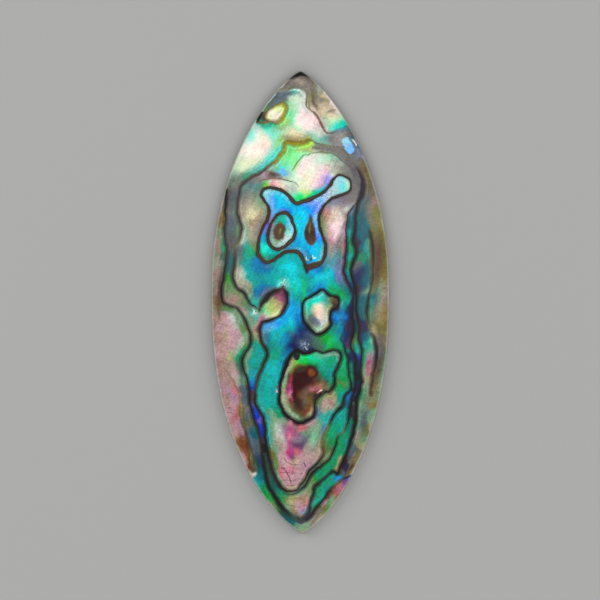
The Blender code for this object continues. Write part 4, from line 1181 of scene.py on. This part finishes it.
def paint_cells(spots, cells, gap):
    """Blends the patches of each cell, which lie along the lines, as the shell grew. The gap to the line
    counts as a third direction, so that colours run along the lines and not across them."""
    colour = np.zeros((len(spots), 3))
    weight = np.zeros(len(spots))
    patches = [Patch(*values) for values in PATCHES]
    centres = np.array([(patch.x, patch.y) for patch in patches])
    nearest = nearest_spots(spots, centres)
    slope_x, slope_y = (gap_slope(spots, centres, gap, way) for way in ((1, 0), (0, 1)))
    angles = np.arctan2(slope_y, slope_x)
    steepness = np.hypot(slope_x, slope_y)
    members = cell_members(cells)
    swirl_x, swirl_y = swirl(spots, *PATCH_SWIRL)
    for patch, at, angle, steep in zip(patches, nearest, angles, steepness):
        mine = members[cells[at]]
        dx = spots[mine, 0] + swirl_x[mine] - patch.x - swirl_x[at]
        dy = spots[mine, 1] + swirl_y[mine] - patch.y - swirl_y[at]
        pull = patch_pull(patch, dx, dy, gap[mine] - gap[at], angle, steep)
        colour[mine] += pull[:, None] * srgb(patch.colour)
        weight[mine] += pull
    # A cell with no patch takes the colour of the patch nearest to its middle.
    for number in sorted(members.keys() - set(cells[nearest])):
        mine = members[number]
        away = np.linalg.norm(centres - spots[mine].mean(axis=0), axis=1)
        colour[mine] = srgb(patches[away.argmin()].colour)
        weight[mine] = 1
    return colour / weight[:, None]


def frost_and_glint_cells(spots, cells, gap):
    """How pale and speckled each spot is along the inside of some cells' lines: the sum of
    strength * exp(-((gap - FROST_GAP) / width) ** 2) * exp(-(distance / reach) ** 2)."""
    frosted_and_glinting = np.zeros(len(spots))
    for frost_and_glint in FROSTS_AND_GLINTS:
        home = cells[nearest_spots(spots, [(frost_and_glint.x, frost_and_glint.y)])[0]]
        layer = np.exp(-((gap - FROST_GAP) / frost_and_glint.width) ** 2) * (cells == home)
        away = ((spots[:, 0] - frost_and_glint.x) ** 2 + (spots[:, 1] - frost_and_glint.y) ** 2) / frost_and_glint.reach ** 2
        frosted_and_glinting += frost_and_glint.strength * layer * np.exp(-away)
    return np.clip(frosted_and_glinting, 0, 1)


def shade_by_lines(colour, gap, halo, weight):
    """A wide line darkens its surroundings: the colour moves to the line's own tone by
    HALO_DEPTH * exp(-(gap / HALO_REACH) ** 2), and to a deeper shade of itself by
    SHADE_DEPTH * exp(-gap / SHADE_REACH). A thin fringe at FRINGE_GAP is lighter by FRINGE_LIGHT. At last
    each colour is raised to COLOUR_DEPTH, which deepens the darker ones most."""
    gap = np.clip(gap, 0, None)[:, None]
    near = HALO_DEPTH * weight[:, None] * np.exp(-(gap / HALO_REACH) ** 2)
    wide = SHADE_DEPTH * weight[:, None] * np.exp(-gap / SHADE_REACH)
    fringe = FRINGE_LIGHT * weight[:, None] * np.exp(-((gap - FRINGE_GAP) / FRINGE_WIDTH) ** 2)
    colour = colour * (1 - wide) * (1 + fringe)
    colour = colour * (1 - near) + near * (HALO_TONE * halo + (1 - HALO_TONE) * colour)
    return np.clip(colour, 0, 1) ** COLOUR_DEPTH


def ground_edge_and_highlight(colour, face):
    """The face's pale ground edge with a painted highlight along it, where the steep polished edge catches
    the light: the colour moves to mist by GROUND_EDGE_AND_HIGHLIGHT * exp(-(distance / RIM_GAP) ** 2),
    with the distance to the rim in the drawing's units."""
    rim = np.minimum(face[..., 0] - face[:, :1, 0], face[:, -1:, 0] - face[..., 0]) / DRAWING_UNIT
    share = GROUND_EDGE_AND_HIGHLIGHT * np.exp(-(rim.reshape(-1, 1) / RIM_GAP) ** 2)
    return colour * (1 - share) + share * srgb("mist")


def wall_and_back(painted):
    """Colours for the wall rings and for the back. The layers run through the stone: a wall takes the
    rim's colour beside it, greyed, and the back has the colours of the face above it, ground dull."""
    rim = np.concatenate([painted[:, -2], painted[1:-1, 1][::-1]])
    around = np.arange(-WALL_BLUR, WALL_BLUR + 1)[:, None] + np.arange(len(rim))
    rim = (1 - WALL_GREYING) * rim[around % len(rim)].mean(axis=0) + WALL_GREYING * srgb("putty")
    columns = np.linspace(COLUMNS - 1, 1, BACK_COLUMNS + 1).round().astype(int)[1:-1]
    back = (1 - BACK_GREYING) * painted[1:-1, columns] + BACK_GREYING * srgb("slate")
    # Painted shade: the wall's lower rings are drawn darker.
    return np.concatenate([*(shade * rim for shade in WALL_PAINTED_SHADE), back.reshape(-1, 3)])


def paint_stone(face, count):
    """What the material reads at each of the stone's count vertices, those of the face first. Colours are
    in light values. Wall is 0 on the face and 1 on the wall and the back."""
    spots = to_drawing(face).reshape(-1, 2)
    edge, tone, gap, halo, weight = draw_lines(spots)
    cells = find_cells((gap < BARRIER_GAP).reshape(face.shape[:2]))
    nacre = shade_by_lines(paint_cells(spots, cells, gap), gap, halo, weight)
    nacre = ground_edge_and_highlight(nacre, face)
    rest = count - len(spots)
    return {
        "nacre": linear(np.concatenate([nacre, wall_and_back(nacre.reshape(face.shape))])),
        "line_tone": linear(np.concatenate([tone, np.tile(srgb("bark"), (rest, 1))])),
        "line_edge": np.concatenate([edge, np.full(rest, -EDGE_LIMIT)]),
        "frost_and_glint": np.concatenate([frost_and_glint_cells(spots, cells, gap), np.zeros(rest)]),
        "wall": np.concatenate([np.zeros(len(spots)), np.ones(rest)]),
    }


# The material.


class Value:
    """One output of a node tree. Arithmetic on it adds Math nodes, also with a number on its left."""

    def __init__(self, tree, socket):
        self.tree = tree
        self.socket = socket

    def math(self, operation, *others):
        return add_node(self.tree, "Math", {"operation": operation}, dict(enumerate((self, *others))))

    def __add__(self, other):
        return self.math("ADD", other)

    __radd__ = __add__

    def __sub__(self, other):
        return self.math("SUBTRACT", other)

    def __rsub__(self, other):
        return Value(self.tree, other).math("SUBTRACT", self)

    def __mul__(self, other):
        return self.math("MULTIPLY", other)

    __rmul__ = __mul__


def add_node(tree, kind, settings, values, output=0):
    """Adds one shader node: its settings first, then a value or a link for each socket given."""
    node = tree.nodes.new("ShaderNode" + kind)
    for name, setting in settings.items():
        setattr(node, name, setting)
    for name, value in values.items():
        if isinstance(value, Value) and isinstance(value.socket, bpy.types.NodeSocket):
            tree.links.new(value.socket, node.inputs[name])
        else:
            node.inputs[name].default_value = value.socket if isinstance(value, Value) else value
    return Value(tree, node.outputs[output])


def read_colour(tree, name):
    """A colour painted on the mesh."""
    return add_node(tree, "Attribute", {"attribute_name": name}, {})


def read_number(tree, name):
    """A number painted on the mesh."""
    return add_node(tree, "Attribute", {"attribute_name": name}, {}, output=2)


def mix_colours(tree, blend, factor, first, second):
    """A Mix node on colours: factor, the colour below and the colour above."""
    settings = {"data_type": "RGBA", "blend_type": blend, "clamp_factor": True}
    return add_node(tree, "Mix", settings, {0: factor, 6: first, 7: second}, output=2)


def ramp_between(tree, value, limits, start=0.0, end=1.0):
    """A smooth step from start at the lower limit to end at the higher one."""
    low, high = limits
    sockets = {"Value": value, "From Min": low, "From Max": high, "To Min": start, "To Max": end}
    return add_node(tree, "MapRange", {"interpolation_type": "SMOOTHSTEP"}, sockets)


def noise(tree, place, grain, output=0):
    """Noise from 0 to 1, with its grain turned about Z: a number, or with output 1 a colour."""
    values = {"Vector": place, "Rotation": (0, 0, grain.turn), "Scale": (1, 1, 1)}
    turned = add_node(tree, "Mapping", {}, values)
    per_metre = [1 / part for part in grain.size]
    stretched = add_node(tree, "VectorMath", {"operation": "MULTIPLY"}, {0: turned, 1: per_metre})
    values = {"Vector": stretched, "Scale": 1.0, "Detail": grain.detail, "Roughness": grain.roughness}
    return add_node(tree, "TexNoise", {}, values, output)


def nacre_noises(tree):
    """Every noise in GRAINS by its name. Those that sway are bent by the slow wander, as silk is."""
    place = add_node(tree, "TexCoord", {}, {}, output=3)
    wander = noise(tree, place, WANDER, output=1)
    wave = add_node(tree, "VectorMath", {"operation": "SCALE"}, {0: wander, "Scale": WANDER_REACH})
    swayed = add_node(tree, "VectorMath", {"operation": "ADD"}, {0: place, 1: wave})
    return {name: noise(tree, swayed if grain.sways else place, grain) for name, grain in GRAINS.items()}


def swing(noise_value, size):
    """A noise turned into a swing about 0 of half of size to each side."""
    return (noise_value - 0.5) * size


def nacre_light(tree, noises, nacre):
    """A grey that lightens and darkens the nacre: fibres, cloud and speckle all over, calmer where the
    nacre is bright, and thin layers in the wall."""
    crisp = ramp_between(tree, noises["glitter"], GLITTER_RAMP)
    speckle = 0.5 * crisp + 0.5 * noises["speck"]
    silk = swing(noises["fibres"], FIBRE_LIGHT) + swing(noises["cross"], CROSS_LIGHT)
    texture = silk + swing(noises["cloud"], CLOUD_LIGHT) + swing(speckle, SPECKLE_LIGHT)
    green = add_node(tree, "SeparateColor", {}, {"Color": nacre}, output=1)
    calm = ramp_between(tree, green, CALM_RAMP, start=1.0, end=CALM_LIGHT)
    layers = swing(noises["layers"], LAYER_LIGHT) * read_number(tree, "wall")
    light = BASE_LIGHT + texture * calm + layers
    return add_node(tree, "CombineColor", {}, {"Red": light, "Green": light, "Blue": light})


def nacre_material():
    """Polished nacre: painted colours under noise, with the growth lines laid over them."""
    material = bpy.data.materials.new("polished_nacre_layers")
    material.use_nodes = True
    tree = material.node_tree
    surface = tree.nodes["Principled BSDF"]
    noises = nacre_noises(tree)
    nacre = read_colour(tree, "nacre")
    light = nacre_light(tree, noises, nacre)
    # Pale frost speckle, with painted glints of light where an entry spreads over its whole cell.
    hoar_and_glitter = read_number(tree, "frost_and_glint") * ramp_between(tree, noises["hoar_and_glitter"], HOAR_RAMP)
    frosted_and_glinting = mix_colours(tree, "MIX", hoar_and_glitter, nacre, FROST_AND_GLINT_COLOUR)
    silky = mix_colours(tree, "MULTIPLY", 1.0, frosted_and_glinting, light)
    hue = 0.5 + swing(noises["hue"], HUE_SWING) + swing(noises["cross"], CROSS_HUE_SWING)
    values = {"Hue": hue, "Saturation": SATURATION, "Color": silky}
    lustre = add_node(tree, "HueSaturation", {}, values)
    fray = swing(noises["speck"], SPECK_FRAY) + swing(noises["fibres"], FIBRE_FRAY)
    cover = ramp_between(tree, read_number(tree, "line_edge") + fray, COVER_RAMP)
    line = mix_colours(tree, "MULTIPLY", 1.0, read_colour(tree, "line_tone"), light)
    colour = mix_colours(tree, "MIX", cover, lustre, line)
    rough = ROUGHNESS + swing(noises["fibres"], FIBRE_ROUGHNESS) + cover * LINE_ROUGHNESS
    height = noises["fibres"] + noises["cloud"] * CLOUD_BUMP
    bump = add_node(tree, "Bump", {}, {**BUMP, "Height": height})
    for name, value in (("Base Color", colour), ("Roughness", rough), ("Normal", bump)):
        tree.links.new(value.socket, surface.inputs[name])
    surface.inputs["Specular IOR Level"].default_value = SPECULAR
    surface.inputs["Coat Weight"].default_value = COAT
    surface.inputs["Coat Roughness"].default_value = COAT_ROUGHNESS
    return material


def floor_material():
    material = bpy.data.materials.new("pale_floor")
    material.use_nodes = True
    surface = material.node_tree.nodes["Principled BSDF"]
    surface.inputs["Base Color"].default_value = FLOOR_COLOUR
    surface.inputs["Roughness"].default_value = FLOOR_ROUGHNESS
    surface.inputs["Specular IOR Level"].default_value = FLOOR_SPECULAR
    return material


def write_attributes(mesh, painted, used):
    """Puts the painted colours and numbers on the vertices that the mesh uses."""
    for name, values in painted.items():
        if values.ndim == 2:
            attribute = mesh.attributes.new(name, "FLOAT_COLOR", "POINT")
            values = np.column_stack([values, np.ones(len(values))])
            attribute.data.foreach_set("color", values[used].astype(np.float32).ravel())
        else:
            attribute = mesh.attributes.new(name, "FLOAT", "POINT")
            attribute.data.foreach_set("value", values[used].astype(np.float32))


def make_cabochon():
    face = polished_face()
    points, quads = stone_mesh(face)
    mesh = bpy.data.meshes.new("abalone_cabochon_shell")
    used = add_faces(mesh, points, quads)
    write_attributes(mesh, paint_stone(face, len(points)), used)
    mesh.materials.append(nacre_material())
    mesh.shade_smooth()
    mesh.set_sharp_from_angle(angle=np.radians(SHARP_ANGLE))
    stone = bpy.data.objects.new("abalone_cabochon_shell", mesh)
    bpy.context.scene.collection.objects.link(stone)
    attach(stone, "root")
    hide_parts("abalone_cabochon")


# The studio.


def make_floor():
    mesh = bpy.data.meshes.new("floor")
    corners = [(-FLOOR_REACH, -FLOOR_REACH, 0), (FLOOR_REACH, -FLOOR_REACH, 0)]
    corners += [(FLOOR_REACH, FLOOR_REACH, 0), (-FLOOR_REACH, FLOOR_REACH, 0)]
    mesh.from_pydata(corners, [], [(0, 1, 2, 3)])
    mesh.materials.append(floor_material())
    floor = bpy.data.objects.new("floor", mesh)
    bpy.context.scene.collection.objects.link(floor)


def make_softbox(name, direction, power):
    """A square light that faces the stone from a direction."""
    data = bpy.data.lights.new(name, "AREA")
    data.shape = "SQUARE"
    data.size = SOFTBOX_SIZE
    data.energy = power
    light = bpy.data.objects.new(name, data)
    direction = Vector(direction).normalized()
    light.location = direction * SOFTBOX_DISTANCE
    light.rotation_euler = direction.to_track_quat("Z", "Y").to_euler()
    bpy.context.scene.collection.objects.link(light)


def make_studio():
    scene = bpy.context.scene
    world = bpy.data.worlds.new("studio")
    world.use_nodes = True
    world.node_tree.nodes["Background"].inputs["Color"].default_value = (1, 1, 1, 1)
    world.node_tree.nodes["Background"].inputs["Strength"].default_value = WORLD_LIGHT
    scene.world = world
    for softbox in SOFTBOXES:
        make_softbox(*softbox)
    scene.view_settings.view_transform = "Standard"


def make_camera():
    """Straight down from far away for a nearly flat view, with FRAME_WIDTH across the picture."""
    data = bpy.data.cameras.new("camera")
    data.sensor_width = FILM_WIDTH
    data.lens = FILM_WIDTH * CAMERA_HEIGHT / FRAME_WIDTH
    data.clip_start = NEAREST_SEEN
    camera = bpy.data.objects.new("camera", data)
    x = (PICTURE_CENTRE[0] - DRAWING_CENTRE[0]) * DRAWING_UNIT
    y = (DRAWING_CENTRE[1] - PICTURE_CENTRE[1]) * DRAWING_UNIT
    camera.location = (x, y, CAMERA_HEIGHT + HEIGHT / 2)
    bpy.context.scene.collection.objects.link(camera)
    bpy.context.scene.camera = camera


make_cabochon()
make_floor()
make_studio()
make_camera()
